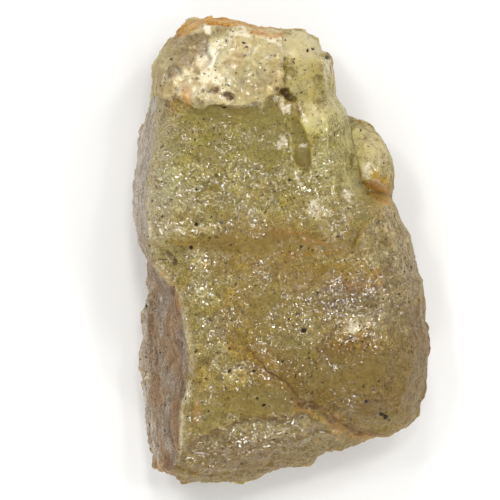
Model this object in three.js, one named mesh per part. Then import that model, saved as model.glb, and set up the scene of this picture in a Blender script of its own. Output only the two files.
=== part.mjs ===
// A rough beryl: one broken lump of cloudy yellow-green crystal, 98 mm long, with a pale crust of
// feldspar on its upper end. It lies on its broken back, and its best face looks up, along +Z.
// +X is to the right and +Y to the upper end of that face. Everything is in millimetres.
import * as THREE from "three";

// Overall form
const FACE_HEIGHT = 36; // of the best face above the surface that the stone lies on
const BELLY = 0.5; // how far the back would reach below that surface, had it not broken flat
const ELONGATION = 1.5; // how much longer than wide it is, for what changes around it

// What changes around the stone, given for E, NE, N, NW, W, SW, S and SE of its middle
const EDGE_ROUND = [9, 5.5, 5, 5, 2, 3.5, 7, 9]; // how far in from the outline the face rounds off
const BACK_ROUND = [20, 15, 19, 13, 17, 21, 16, 22]; // how far in the back rounds off
const EDGE_HEIGHT = [17, 18, 17, 16, 15, 13, 14, 16]; // of the outline, where the stone is widest

// The flats that round off an edge: the share of the way in, and the share of the height gained
const FACE_FLATS = [[0, 0], [0.1, 0.46], [0.44, 0.85], [1, 1]];
const BACK_FLATS = [[0, 0], [0.1, 0.4], [0.5, 0.84], [1, 1]];

// The outline of the main body, clockwise from the left end of the top
const OUTLINE = [
  [-27.2, 38.9], [-25.9, 41.0], [-24.3, 43.1], [-22.2, 45.6], [-19.6, 47.7], [-15.4, 48.9],
  [-9.3, 48.5], [-4.1, 47.3], [0.7, 46.4], [4.1, 46.4], [7.7, 44.6], [8.5, 41.9],
  [9.9, 41.5], [10.8, 40.3], [11.2, 35.2], [11.4, 32.6], [13.5, 29.9], [14.4, 26.3],
  [14.9, 23.3], [15.6, 17.0], [16.7, 14.1], [19.0, 12.8], [22.8, 11.4], [24.3, 9.5],
  [25.3, 6.5], [27.1, 3.6], [28.0, 0.0], [28.7, -4.0], [29.7, -6.2], [29.8, -10.2],
  [30.1, -14.6], [31.2, -17.2], [31.4, -20.3], [30.6, -25.4], [29.5, -30.2], [28.7, -31.6],
  [28.4, -35.0], [26.4, -37.0], [23.2, -39.1], [19.0, -39.4], [14.4, -41.2], [13.1, -42.0],
  [8.7, -42.6], [5.6, -44.8], [0.5, -45.7], [-5.6, -47.9], [-8.7, -48.6], [-18.2, -48.9],
  [-20.7, -48.6], [-25.2, -46.4], [-27.5, -45.4], [-27.0, -42.4], [-28.5, -36.3], [-29.3, -29.0],
  [-29.7, -23.7], [-29.9, -14.5], [-29.3, -10.5], [-27.9, -5.5], [-28.4, -1.7], [-30.0, 2.3],
  [-31.4, 7.6], [-31.4, 10.7], [-30.3, 18.1], [-29.6, 24.8], [-28.0, 29.2], [-27.2, 35.9],
];

// The sharp ridge between the face and the steep, grained left side, from the top down
const RIDGE = [
  [-24.6, 43.5], [-25.6, 39.0], [-25.6, 31.7], [-26.7, 19.7], [-27.7, 14.9], [-27.9, 10.1],
  [-27.5, 3.6], [-28.0, -0.8], [-24.9, -5.0], [-22.4, -7.6], [-21.4, -9.0], [-20.4, -12.6],
  [-19.1, -22.1], [-19.2, -26.5], [-20.9, -34.0], [-21.2, -41.8], [-22.2, -46.4], [-22.8, -49.5],
];
const SIDE_FALL = { upper: 5, notch: 6, lower: 2.9 }; // how steeply the left side falls, as a slope
// Along Y: the notch under the upper left bulge starts, is fully open, starts to ease and has ended
const NOTCH = { start: 2, open: -3, easing: -5, end: -15 };
const SHELF = { height: 14, climb: 0.5 }; // the shelf at the foot of the left side, and its own slope

// Broad swells and hollows of the face: middle, half-widths, and rise at the middle
const SWELLS = [
  { x: 13, y: -17.5, rx: 17.5, ry: 15, rise: 4.6 }, // the bulge of the lower right
  { x: -12, y: 6.5, rx: 23, ry: 5.8, rise: 1.0 }, // the crest at the foot of the upper face
  { x: -9, y: 1.8, rx: 23, ry: 3.2, rise: -1.3 }, // the smooth band under that crest
  { x: -14, y: -7, rx: 14, ry: 5.8, rise: 1.0 }, // the crest under the band
  { x: -9, y: 26, rx: 17.5, ry: 4.7, rise: -1.9 }, // the hollow under the crust
  { x: 7, y: 35, rx: 5.8, ry: 5.8, rise: -2.0 }, // the clear hollow to the right of the crust
  { x: -7, y: -26, rx: 10.5, ry: 5.8, rise: 1.0 }, // the swell to the left of the crack
];

// Areas that stand out of the face or lie sunk in it, with the width of the edge around them
const TERRACES = [
  {
    // the crust of feldspar on the upper end
    rise: 2.5,
    edge: 1.8,
    outline: [
      [-35, 31.7], [-22.4, 31.7], [-19.2, 30.7], [-16.1, 30.0], [-12.9, 30.2], [-9.8, 29.8],
      [-6.6, 30.0], [-3.5, 30.4], [-1.2, 32.1], [0.6, 34.6], [0.9, 36.8], [0.1, 39.3],
      [0.3, 42.6], [-0.5, 52], [-35, 52],
    ],
  },
  {
    // the long clear window in the upper right
    rise: -1.3,
    edge: 1.3,
    outline: [
      [1.3, 28.6], [2.9, 28.3], [4.1, 26.7], [5.6, 24.6], [6.2, 20.0], [6.3, 16.6],
      [4.9, 15.9], [3.1, 16.6], [2.2, 18.1], [1.8, 21.6], [1.2, 25.0],
    ],
  },
  {
    // the stained pocket at the lower end of the crack
    rise: -1.3,
    edge: 1.6,
    outline: [
      [2.8, -30.6], [6.7, -31.0], [9.8, -33.0], [12.0, -35.7], [15.8, -37.9], [18.7, -41.4],
      [15.2, -42.6], [11.7, -38.6], [8.9, -35.7], [7.0, -34.1], [4.9, -33.4], [2.9, -32.6],
    ],
  },
  {
    // the step down to the coarse facet at the lower end
    rise: -1.1,
    edge: 1.0,
    outline: [
      [-15.8, -38.0], [-10.8, -36.1], [-5.6, -34.2], [-2.4, -34.9], [2.4, -34.0], [4.9, -33.4],
      [8.9, -35.7], [11.7, -38.6], [16, -43], [16, -54], [-28, -54], [-20.4, -40.3],
    ],
  },
  {
    // the brown cavity at the right end of the crust
    rise: -2.0,
    edge: 1.4,
    outline: [[-0.3, 33.4], [1.2, 34.0], [2.8, 32.2], [3.0, 30.6], [0.9, 30.2], [-0.2, 31.5]],
  },
];
const FOOT = { x: 0, y: -34.4, height: 36.7, fallX: 0.06, fallY: 0.72 }; // plane of the lower facet
const CREASE = 1.5; // how rounded the crease is where two such surfaces meet

// The diagonal crack above the pocket
const CRACK = [
  [-7.5, -16.4], [-7.2, -20.4], [-4.5, -22.9], [-3.0, -24.8], [0.9, -27.1], [3.7, -30.7],
  [6.6, -31.5], [9.8, -33.2], [11.0, -34.9], [14.6, -37.2], [20.9, -39.3],
];
const CRACK_WIDTH = 1.5;
const CRACK_DEPTH = 0.6;
const CRACK_STEP = 1.0; // how far the lower left lip of the crack stands above the other one
const CRACK_FADE = 5; // how far away from the crack its lips are level with the face again

// The rounded lobe grown onto the right side: centre, radii, and its turn about Z
const LOBE = { centre: [17.5, 18.5, 19.5], radii: [5.6, 8.7, 9.5], turn: 0.45 };

// Broken facets all over: cell size, slope of the facets, and how sharply they meet
const FACET_SIZE = 10;
const FACET_SHIFT = 0.4; // how far off the middle of its cell a facet may lie, in cells
const FACET_TILT = 0.2;
const FACET_SHARPNESS = 45;
const LUMP_SIZE = 5.8;
const LUMP_RISE = 0.35;
const LUMP_SEED = 7;
const RELIEF_REACH = 4; // how far off the smooth form the relief is worked out
const LEVEL_SHARE = 1.3; // how much more the facets rise on level ground than on upright walls
const FACE_SHARE = 0.45; // how much of their rise is left on the face and at the outline
const ROUGH_BELOW = 4; // height under which they have their whole rise
const CALM_ABOVE = 11; // height above which only that share is left

// The mesh
const STEP = [1.95, 1.95, 2.8]; // spacing of the sampling grid
const LOW = [-34.5, -52, -3.0]; // its lowest corner
const HIGH = [34.5, 52, 45];
const FLAT_WITHIN = 0.05; // a point this close to the resting surface lies on it
const PULL_TO_MIDDLE = 0.1; // holds a point near the middle of its crossings where they are level
const JUST_OFF = 0.01; // how far off the surface a corner lies that has changed side
const SLOPE_STEP = 0.15; // over which the slope of the field is measured
const NEARER_BY = 1e-9; // how much nearer a segment of a path must be to count as the nearest one

const clamp = (t, low, high) => Math.min(high, Math.max(low, t));
const smoothstep = (from, to, t) => {
  const s = clamp((t - from) / (to - from), 0, 1);
  return s * s * (3 - 2 * s);
};
const mix = (a, b, t) => a + (b - a) * t;

// The smaller of two heights, with a rounded crease of the given width where they meet.
function smoothMin(a, b, width) {
  const s = clamp(0.5 + (0.5 * (b - a)) / width, 0, 1);
  return mix(b, a, s) - width * s * (1 - s);
}

// The distance from a point to the nearest segment of a path, and the side of it that the point is
// on: positive on the left of the path's own direction.
function fromPath(x, y, path, closed) {
  let nearest = Infinity;
  let side = 1;
  const count = closed ? path.length : path.length - 1;
  for (let i = 0; i < count; i++) {
    const [ax, ay] = path[i];
    const [bx, by] = path[(i + 1) % path.length];
    const dx = bx - ax;
    const dy = by - ay;
    const along = clamp(((x - ax) * dx + (y - ay) * dy) / (dx * dx + dy * dy), 0, 1);
    const distance = Math.hypot(x - ax - along * dx, y - ay - along * dy);
    if (distance < nearest - NEARER_BY) {
      nearest = distance;
      side = dx * (y - ay) - dy * (x - ax) > 0 ? 1 : -1;
    }
  }
  return { distance: nearest, side };
}

// How far a point is inside a closed outline, negative outside it.
function inside(x, y, outline) {
  let within = false;
  for (let i = 0, j = outline.length - 1; i < outline.length; j = i++) {
    const [ax, ay] = outline[i];
    const [bx, by] = outline[j];
    if (ay > y !== by > y && x < ((bx - ax) * (y - ay)) / (by - ay) + ax) within = !within;
  }
  const { distance } = fromPath(x, y, outline, true);
  return within ? distance : -distance;
}

// A value that changes smoothly around the stone, from eight given values.
function around(x, y, values) {
  const eighths = ((Math.atan2(y, ELONGATION * x) / (2 * Math.PI)) * 8 + 8) % 8;
  const i = Math.floor(eighths);
  return mix(values[i % 8], values[(i + 1) % 8], smoothstep(0, 1, eighths - i));
}

// A repeatable random number from -1 to 1 for each point of a whole-number lattice.
function random(i, j, k, seed) {
  let h = Math.imul(i, 374761393) ^ Math.imul(j, 668265263) ^ Math.imul(k, 1274126177);
  h = Math.imul(h ^ Math.imul(seed, 2246822519), 3266489917);
  h = Math.imul(h ^ (h >>> 15), 2246822519);
  h = Math.imul(h ^ (h >>> 13), 3266489917);
  return ((h ^ (h >>> 16)) & 0xffff) / 0x7fff - 1;
}

// Smooth lumps between -1 and 1, one lattice cell across.
function lumps(x, y, z, seed) {
  const [i, j, k] = [x, y, z].map(Math.floor);
  const [u, v, w] = [x - i, y - j, z - k].map((t) => smoothstep(0, 1, t));
  const row = (b, c) => mix(random(i, j + b, k + c, seed), random(i + 1, j + b, k + c, seed), u);
  return mix(mix(row(0, 0), row(1, 0), v), mix(row(0, 1), row(1, 1), v), w);
}

// Broken facets: each lattice cell holds one tilted plane, and neighbours meet in soft creases.
function facets(x, y, z) {
  const [i, j, k] = [x, y, z].map((t) => Math.floor(t / FACET_SIZE));
  let total = 0;
  let weight = 0;
  for (let a = i - 1; a <= i + 1; a++)
    for (let b = j - 1; b <= j + 1; b++)
      for (let c = k - 1; c <= k + 1; c++) {
        const dx = x - (a + 0.5 + FACET_SHIFT * random(a, b, c, 1)) * FACET_SIZE;
        const dy = y - (b + 0.5 + FACET_SHIFT * random(a, b, c, 2)) * FACET_SIZE;
        const dz = z - (c + 0.5 + FACET_SHIFT * random(a, b, c, 3)) * FACET_SIZE;
        const near = Math.exp((-FACET_SHARPNESS * (dx * dx + dy * dy + dz * dz)) / FACET_SIZE ** 2);
        const tilt =
          random(a, b, c, 4) * dx + random(a, b, c, 5) * dy + random(a, b, c, 6) * dz;
        total += near * FACET_TILT * tilt;
        weight += near;
      }
  return total / weight;
}

// How far the broken surface stands out from the smooth form.
function relief(x, y, z) {
  const lump = lumps(x / LUMP_SIZE, y / LUMP_SIZE, z / LUMP_SIZE, LUMP_SEED);
  const whole = facets(x, y, z) + LUMP_RISE * lump;
  return whole * mix(1, FACE_SHARE, smoothstep(ROUGH_BELOW, CALM_ABOVE, z));
}

// The height of the face, before its edge rounds off.
function faceHeight(x, y) {
  let height = FACE_HEIGHT;
  for (const s of SWELLS)
    height += s.rise * Math.exp(-(((x - s.x) / s.rx) ** 2) - ((y - s.y) / s.ry) ** 2);
  const foot = FOOT.height + FOOT.fallY * (y - FOOT.y) - FOOT.fallX * (x - FOOT.x);
  height = smoothMin(height, foot, CREASE);
  for (const t of TERRACES) height += t.rise * smoothstep(0, t.edge, inside(x, y, t.outline));
  return height + crackHeight(x, y);
}

// How far the crack raises or lowers the face.
function crackHeight(x, y) {
  const { distance, side } = fromPath(x, y, CRACK, false);
  const opened = smoothstep(0, CRACK_FADE, Math.hypot(x - CRACK[0][0], y - CRACK[0][1]));
  const lip = (0.5 * CRACK_STEP * -side * opened) * (1 - smoothstep(0, CRACK_FADE, distance));
  return lip - CRACK_DEPTH * (1 - smoothstep(0, CRACK_WIDTH, distance));
}

// The share of the height gained at a share of the way in, along a row of flats.
function alongFlats(share, flats) {
  const i = flats.findIndex(([way], n) => n > 0 && share <= way);
  if (i < 0) return 1;
  const [[fromWay, fromGain], [toWay, toGain]] = [flats[i - 1], flats[i]];
  return mix(fromGain, toGain, Math.max(0, (share - fromWay) / (toWay - fromWay)));
}

// The height of the stone's upper surface over a point that lies the given way in.
function topHeight(x, y, inward) {
  const edge = around(x, y, EDGE_HEIGHT);
  const gain = alongFlats(inward / around(x, y, EDGE_ROUND), FACE_FLATS);
  const { distance, side } = fromPath(x, y, RIDGE, false);
  const face = faceHeight(x, y);
  const faceTop = mix(edge, face, gain);
  if (side > 0) return faceTop;
  const lower = mix(SIDE_FALL.notch, SIDE_FALL.lower, smoothstep(NOTCH.easing, NOTCH.end, y));
  const fall = mix(SIDE_FALL.upper, lower, smoothstep(NOTCH.start, NOTCH.open, y));
  const shelf = SHELF.height + SHELF.climb * Math.max(0, inward);
  return Math.min(faceTop, -smoothMin(-(face - fall * distance), -shelf, CREASE));
}

// The height of the stone's back, before it is broken flat.
function backHeight(x, y, inward) {
  const gain = alongFlats(inward / around(x, y, BACK_ROUND), BACK_FLATS);
  return mix(around(x, y, EDGE_HEIGHT), -BELLY, gain);
}

// What the stone is like over one point of the ground. The columns that are worked out are kept.
const columns = new Map();
function columnAt(x, y) {
  const key = `${x.toFixed(4)},${y.toFixed(4)}`;
  if (!columns.has(key)) {
    const inward = inside(x, y, OUTLINE);
    const [top, back] = [topHeight(x, y, inward), backHeight(x, y, inward)];
    columns.set(key, { inward, top, back });
  }
  return columns.get(key);
}

function lobeDistance(x, y, z) {
  const [dx, dy, dz] = [x - LOBE.centre[0], y - LOBE.centre[1], z - LOBE.centre[2]];
  const [cos, sin] = [Math.cos(LOBE.turn), Math.sin(LOBE.turn)];
  const [rx, ry, rz] = LOBE.radii;
  const share = Math.hypot((dx * cos + dy * sin) / rx, (dy * cos - dx * sin) / ry, dz / rz);
  return (share - 1) * Math.min(rx, ry, rz);
}

// Roughly how far a point is outside the stone, negative inside it.
function field(x, y, z) {
  const { inward, top, back } = columnAt(x, y);
  const body = Math.max(-inward, (z - top) / LEVEL_SHARE, (back - z) / LEVEL_SHARE);
  const smooth = Math.min(body, lobeDistance(x, y, z));
  return Math.max(Math.abs(smooth) < RELIEF_REACH ? smooth - relief(x, y, z) : smooth, -z);
}

// The direction that the surface faces at a point.
function facing(x, y, z) {
  const h = SLOPE_STEP;
  return new THREE.Vector3(
    field(x + h, y, z) - field(x - h, y, z),
    field(x, y + h, z) - field(x, y - h, z),
    field(x, y, z + h) - field(x, y, z - h),
  ).normalize();
}

// The point that lies closest to the planes of the given crossings, so that it falls on a sharp edge
// or corner if they have one between them.
function sharpest(crossings) {
  const middle = new THREE.Vector3();
  for (const c of crossings) middle.addScaledVector(c.point, 1 / crossings.length);
  const rows = [[PULL_TO_MIDDLE, 0, 0], [0, PULL_TO_MIDDLE, 0], [0, 0, PULL_TO_MIDDLE]];
  const off = new THREE.Vector3();
  for (const { point, normal } of crossings) {
    const n = normal.toArray();
    for (const r of [0, 1, 2]) for (const c of [0, 1, 2]) rows[r][c] += n[r] * n[c];
    off.addScaledVector(normal, normal.dot(point.clone().sub(middle)));
  }
  return off.applyMatrix3(new THREE.Matrix3().set(...rows.flat()).invert()).add(middle);
}

// Two diagonal corners of a grid square that are alike, with the other two unlike them, would let
// the surface touch itself along an edge. The corner nearest to the surface changes side there.
function partDiagonals(values, size, index) {
  const squares = [[[1, 0, 0], [0, 1, 0]], [[0, 1, 0], [0, 0, 1]], [[0, 0, 1], [1, 0, 0]]];
  let changed = true;
  while (changed) {
    changed = false;
    for (let k = 0; k < size[2] - 1; k++)
      for (let j = 0; j < size[1] - 1; j++)
        for (let i = 0; i < size[0] - 1; i++)
          for (const [u, v] of squares) {
            const square = [[0, 0], [1, 0], [1, 1], [0, 1]].map(([p, q]) =>
              index(i + p * u[0] + q * v[0], j + p * u[1] + q * v[1], k + p * u[2] + q * v[2]),
            );
            const [a, b, c, d] = square.map((n) => values[n] > 0);
            if (a !== c || b !== d || a === b) continue;
            const nearest = square.reduce((m, n) =>
              Math.abs(values[n]) < Math.abs(values[m]) ? n : m,
            );
            values[nearest] = values[nearest] > 0 ? -JUST_OFF : JUST_OFF;
            changed = true;
          }
  }
}

// The surface where the field is zero: one point in each grid cell that it crosses, and one
// four-sided face across each grid edge that it crosses.
function stoneGeometry() {
  const size = [0, 1, 2].map((a) => Math.ceil((HIGH[a] - LOW[a]) / STEP[a]) + 1);
  const index = (i, j, k) => (k * size[1] + j) * size[0] + i;
  const place = (i, j, k) => [i, j, k].map((n, a) => LOW[a] + n * STEP[a]);
  const values = new Float64Array(size[0] * size[1] * size[2]);
  for (let k = 0; k < size[2]; k++)
    for (let j = 0; j < size[1]; j++)
      for (let i = 0; i < size[0]; i++) values[index(i, j, k)] = field(...place(i, j, k));
  partDiagonals(values, size, index);

  const corners = [0, 1, 2, 3, 4, 5, 6, 7].map((n) => [n & 1, (n >> 1) & 1, n >> 2]);
  const edges = corners.flatMap((c, p) => [1, 2, 4].filter((b) => !(p & b)).map((b) => [p, p + b]));
  const crossingOf = new Map();
  const crossingAt = (p, q) => {
    const key = index(...p) * values.length + index(...q);
    if (!crossingOf.has(key)) {
      const [vp, vq] = [values[index(...p)], values[index(...q)]];
      const point = place(...p).map((c, a) => mix(c, place(...q)[a], vp / (vp - vq)));
      crossingOf.set(key, { point: new THREE.Vector3(...point), normal: facing(...point) });
    }
    return crossingOf.get(key);
  };
  const points = [];
  const pointOf = new Map();
  const cellPoint = (i, j, k) => {
    const cell = index(i, j, k);
    if (!pointOf.has(cell)) {
      const crossings = [];
      for (const [p, q] of edges) {
        const ends = [corners[p], corners[q]].map(([u, v, w]) => [i + u, j + v, k + w]);
        const [vp, vq] = ends.map((end) => values[index(...end)]);
        if (vp > 0 !== vq > 0) crossings.push(crossingAt(...ends));
      }
      const point = sharpest(crossings).toArray();
      const corner = place(i, j, k);
      const kept = point.map((c, a) => clamp(c, corner[a], corner[a] + STEP[a]));
      if (kept[2] < FLAT_WITHIN) kept[2] = 0;
      points.push(kept);
      pointOf.set(cell, points.length - 1);
    }
    return pointOf.get(cell);
  };

  const triangles = [];
  const across = [[[0, 1, 0], [0, 0, 1]], [[0, 0, 1], [1, 0, 0]], [[1, 0, 0], [0, 1, 0]]];
  for (let k = 1; k < size[2] - 1; k++)
    for (let j = 1; j < size[1] - 1; j++)
      for (let i = 1; i < size[0] - 1; i++)
        for (const axis of [0, 1, 2]) {
          const here = values[index(i, j, k)] > 0;
          const next = [i, j, k];
          next[axis]++;
          if (here === values[index(...next)] > 0) continue;
          const [u, v] = across[axis];
          const quad = [[0, 0], [1, 0], [1, 1], [0, 1]].map(([p, q]) =>
            cellPoint(i - p * u[0] - q * v[0], j - p * u[1] - q * v[1], k - p * u[2] - q * v[2]),
          );
          if (here) quad.reverse();
          triangles.push(quad[0], quad[1], quad[2], quad[0], quad[2], quad[3]);
        }
  const geometry = new THREE.BufferGeometry();
  geometry.setAttribute("position", new THREE.Float32BufferAttribute(points.flat(), 3));
  geometry.setIndex(triangles);
  geometry.computeVertexNormals();
  return geometry;
}

const beryl = new THREE.Mesh(
  stoneGeometry(),
  new THREE.MeshStandardMaterial({ color: 0xa5966a, roughness: 0.35, metalness: 0 }),
);
beryl.name = "beryl";

const stone = new THREE.Group();
stone.add(beryl);
export default stone;
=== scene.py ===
"""A rough beryl, lying on its broken back, seen from straight above.

The stone is the zero surface of one field, as in the CAD model, sampled here on a much finer grid and
with finer chips, grain and cracks. Sizes are in millimetres, in the CAD frame, up to where the mesh is
made. The floor, the lights and the camera are in metres.
"""

import math

import bpy
import numpy as np
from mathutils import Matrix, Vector


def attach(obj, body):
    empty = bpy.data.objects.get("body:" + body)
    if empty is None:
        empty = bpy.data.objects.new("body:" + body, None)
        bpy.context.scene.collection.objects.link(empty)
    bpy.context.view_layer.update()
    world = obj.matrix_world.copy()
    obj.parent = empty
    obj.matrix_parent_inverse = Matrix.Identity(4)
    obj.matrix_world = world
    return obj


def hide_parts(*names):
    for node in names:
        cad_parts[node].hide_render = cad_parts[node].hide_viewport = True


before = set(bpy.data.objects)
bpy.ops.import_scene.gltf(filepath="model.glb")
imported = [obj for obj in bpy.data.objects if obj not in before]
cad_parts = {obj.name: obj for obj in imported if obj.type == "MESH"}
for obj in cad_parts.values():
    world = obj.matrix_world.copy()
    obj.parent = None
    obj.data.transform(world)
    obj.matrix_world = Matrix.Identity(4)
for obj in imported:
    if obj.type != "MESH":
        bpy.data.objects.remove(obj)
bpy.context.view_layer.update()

MM = 0.001

# Overall form, with the values of the CAD model
FACE_HEIGHT = 36  # of the best face above the surface that the stone lies on
BELLY = 0.5  # how far the back would reach below that surface, had it not broken flat
ELONGATION = 1.5  # how much longer than wide it is, for what changes around it

# What changes around the stone, given for E, NE, N, NW, W, SW, S and SE of its middle
EDGE_ROUND = [9, 5.5, 5, 5, 2, 3.5, 7, 9]  # how far in from the outline the face rounds off
BACK_ROUND = [20, 15, 19, 13, 17, 21, 16, 22]  # how far in the back rounds off
EDGE_HEIGHT = [17, 18, 17, 16, 15, 13, 14, 16]  # of the outline, where the stone is widest

# The flats that round off an edge: the share of the way in, and the share of the height gained
FACE_FLATS = [[0, 0], [0.1, 0.46], [0.44, 0.85], [1, 1]]
BACK_FLATS = [[0, 0], [0.1, 0.4], [0.5, 0.84], [1, 1]]

# The outline of the main body, clockwise from the left end of the top
OUTLINE = [
    [-27.2, 38.9], [-25.9, 41], [-24.3, 43.1], [-22.2, 45.6], [-19.6, 47.7], [-15.4, 48.9],
    [-9.3, 48.5], [-4.1, 47.3], [0.7, 46.4], [4.1, 46.4], [7.7, 44.6], [8.5, 41.9],
    [9.9, 41.5], [10.8, 40.3], [11.2, 35.2], [11.4, 32.6], [13.5, 29.9], [14.4, 26.3],
    [14.9, 23.3], [15.6, 17], [16.7, 14.1], [19, 12.8], [22.8, 11.4], [24.3, 9.5],
    [25.3, 6.5], [27.1, 3.6], [28, 0], [28.7, -4], [29.7, -6.2], [29.8, -10.2],
    [30.1, -14.6], [31.2, -17.2], [31.4, -20.3], [30.6, -25.4], [29.5, -30.2], [28.7, -31.6],
    [28.4, -35], [26.4, -37], [23.2, -39.1], [19, -39.4], [14.4, -41.2], [13.1, -42],
    [8.7, -42.6], [5.6, -44.8], [0.5, -45.7], [-5.6, -47.9], [-8.7, -48.6], [-18.2, -48.9],
    [-20.7, -48.6], [-25.2, -46.4], [-27.5, -45.4], [-27, -42.4], [-28.5, -36.3], [-29.3, -29],
    [-29.7, -23.7], [-29.9, -14.5], [-29.3, -10.5], [-27.9, -5.5], [-28.4, -1.7], [-30, 2.3],
    [-31.4, 7.6], [-31.4, 10.7], [-30.3, 18.1], [-29.6, 24.8], [-28, 29.2], [-27.2, 35.9],
]

# The sharp ridge between the face and the steep, grained left side, from the top down
RIDGE = [
    [-24.6, 43.5], [-25.6, 39], [-25.6, 31.7], [-26.7, 19.7], [-27.7, 14.9], [-27.9, 10.1],
    [-27.5, 3.6], [-28, -0.8], [-24.9, -5], [-22.4, -7.6], [-21.4, -9], [-20.4, -12.6],
    [-19.1, -22.1], [-19.2, -26.5], [-20.9, -34], [-21.2, -41.8], [-22.2, -46.4], [-22.8, -49.5],
]
SIDE_FALL = {"upper": 5, "notch": 6, "lower": 2.9}  # how steeply the left side falls, as a slope
# Along Y: the notch under the upper left bulge starts, is fully open, starts to ease and has ended
NOTCH = {"start": 2, "open": -3, "easing": -5, "end": -15}
SHELF = {"height": 14, "climb": 0.5}  # the shelf at the foot of the left side, and its own slope

# Broad swells and hollows of the face: x, y, half-widths, and rise at the middle
SWELLS = [
    (13, -17.5, 17.5, 15, 4.6),
    (-12, 6.5, 23, 5.8, 1),
    (-9, 1.8, 23, 3.2, -0.7),
    (-14, -7, 14, 5.8, 1),
    (-9, 26, 17.5, 4.7, -1.9),
    (7, 35, 5.8, 5.8, -2),
    (-7, -26, 10.5, 5.8, 1),
]

# Areas that stand out of the face or lie sunk in it
CRUST = [
    [-35, 31.7], [-22.4, 31.7], [-19.2, 30.7], [-16.1, 30], [-12.9, 30.2], [-9.8, 29.8],
    [-6.6, 30], [-3.5, 30.4], [-1.2, 32.1], [0.6, 34.6], [0.9, 36.8], [0.1, 39.3],
    [0.3, 42.6], [-0.5, 52], [-35, 52],
]
WINDOW = [
    [1.6, 26.9], [2.3, 28.4], [3.4, 26.9], [4.3, 25.7], [5.3, 24.5], [5.7, 22.2], [5.9, 19.7],
    [6.1, 17.5], [5.9, 16.4], [4.8, 16.5], [3.8, 17.3], [2.6, 17.9], [2.4, 19.7], [2.6, 21.1],
    [2.2, 22.4], [2, 23.9], [1.5, 25.5],
]
POCKET = [
    [2.8, -30.6], [6.7, -31], [9.8, -33], [12, -35.7], [15.8, -37.9], [18.7, -41.4],
    [15.2, -42.6], [11.7, -38.6], [8.9, -35.7], [7, -34.1], [4.9, -33.4], [2.9, -32.6],
]
COARSE_FACET = [
    [-15.8, -38], [-10.8, -36.1], [-5.6, -34.2], [-2.4, -34.9], [2.4, -34], [4.9, -33.4],
    [8.9, -35.7], [11.7, -38.6], [16, -43], [16, -54], [-28, -54], [-20.4, -40.3],
]
CAVITY = [
    [-0.6, 33.2], [0.4, 34], [1.4, 33.6], [1.8, 32.5], [2.8, 32.2], [2.7, 31], [1, 30.7],
    [0.3, 32],
]
BLOCK = [
    [0.3, 42.6], [0.1, 39.3], [0.7, 37.4], [0.9, 36.1], [0.3, 34.6], [-1.2, 33.2],
    [-2.4, 31.9], [-4.1, 30.9], [-6.6, 30], [-9.1, 29.7], [-9.9, 31.3], [-12.6, 34.2],
    [-13.5, 38.6], [-12.4, 42.4], [-9, 44.2], [-3.8, 43.8],
]
TERRACES = [
    # outline, rise, width of the edge around, and how ragged it is
    (CRUST, 2.1, 0.8, 1.0),
    (BLOCK, 0.7, 0.6, 0.6),
    (POCKET, -0.9, 1.8, 1.0),
    (COARSE_FACET, -1.1, 0.6, 1.0),
    (CAVITY, -1.3, 0.5, 0.8),
]
WINDOW_FALL = {"from": 0.8, "to": 4.4, "deepest": 0.8, "edge": 0.6}  # it deepens from left to right
WINDOW_RAGGED = 0.35
FOOT = {"x": 0, "y": -34.4, "height": 36.7, "fall_x": 0.06, "fall_y": 0.72}  # plane of the lower facet
CREASE = 1.5  # how rounded the crease is where two such surfaces meet

# How the edges of these areas wander: size of the wander, its reach and its first random draw
RAGGED = [(2.0, 0.8, 17), (0.8, 0.35, 19)]

# The diagonal crack above the pocket
CRACK = [
    [-7.5, -16.4], [-7.2, -20.4], [-4.5, -22.9], [-3, -24.8], [0.9, -27.1], [3.7, -30.7],
    [6.6, -31.5], [9.8, -33.2], [11, -34.9], [14.6, -37.2], [20.9, -39.3],
]
CRACK_WIDTH = 0.5
CRACK_DEPTH = 0.2
CRACK_STEP = 0.7  # how far the lower left lip of the crack stands above the other one
CRACK_FADE = 5  # how far away from the crack its lips are level with the face again

# The rounded lobe grown onto the right side
LOBE_CENTRE = (17.5, 18.5, 19.5)
LOBE_RADII = (5.6, 8.7, 9.5)
LOBE_TURN = 0.45  # counterclockwise, in radians
LOBE_FILLET = 2.6  # width of the rounded groove around it

# Broken facets all over: cell size, slope of the facets, and how sharply they meet
FACET_SIZE = 10
FACET_SHIFT = 0.4  # how far off the middle of its cell a facet may lie, in cells
FACET_TILT = 0.2
FACET_SHARPNESS = 14
LUMPS = [(5.8, 0.35, 7)]  # size, rise and random draw
LEVEL_SHARE = 1.3  # how much more the facets rise on level ground than on upright walls
FACE_SHARE = 0.45  # how much of their rise is left on the face
ROUGH_BELOW = 4  # height under which they have their whole rise
CALM_ABOVE = 11  # height above which only that share is left
BAND = 2.6  # the facets are worked out only this close to the smooth surface

# The sampling grid: its spacing, lowest corner and highest corner
STEP = np.array([0.45, 0.45, 0.6])
LOW = np.array([-33.3, -51.0, -0.9])
HIGH = np.array([33.3, 51.0, 43.5])
FLAT_WITHIN = 0.02  # a point this close to the resting surface lies on it
NEARER_BY = 1e-9  # how much nearer a segment of a path must be to count as the nearest one
BARELY = 1e-30  # keeps the weight of the facets above nothing


def smoothstep(start, end, value):
    share = np.clip((value - start) / (end - start), 0, 1)
    return share * share * (3 - 2 * share)


def mix(a, b, share):
    return a + (b - a) * share


def smooth_min(a, b, width):
    share = np.clip(0.5 + 0.5 * (b - a) / width, 0, 1)
    return mix(b, a, share) - width * share * (1 - share)


def off(x, y, point):
    return np.hypot(x - point[0], y - point[1])


def turned(dx, dy, turn):
    """An offset, along and across something that is turned counterclockwise."""
    cos, sin = math.cos(turn), math.sin(turn)
    return dx * cos + dy * sin, dy * cos - dx * sin


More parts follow.
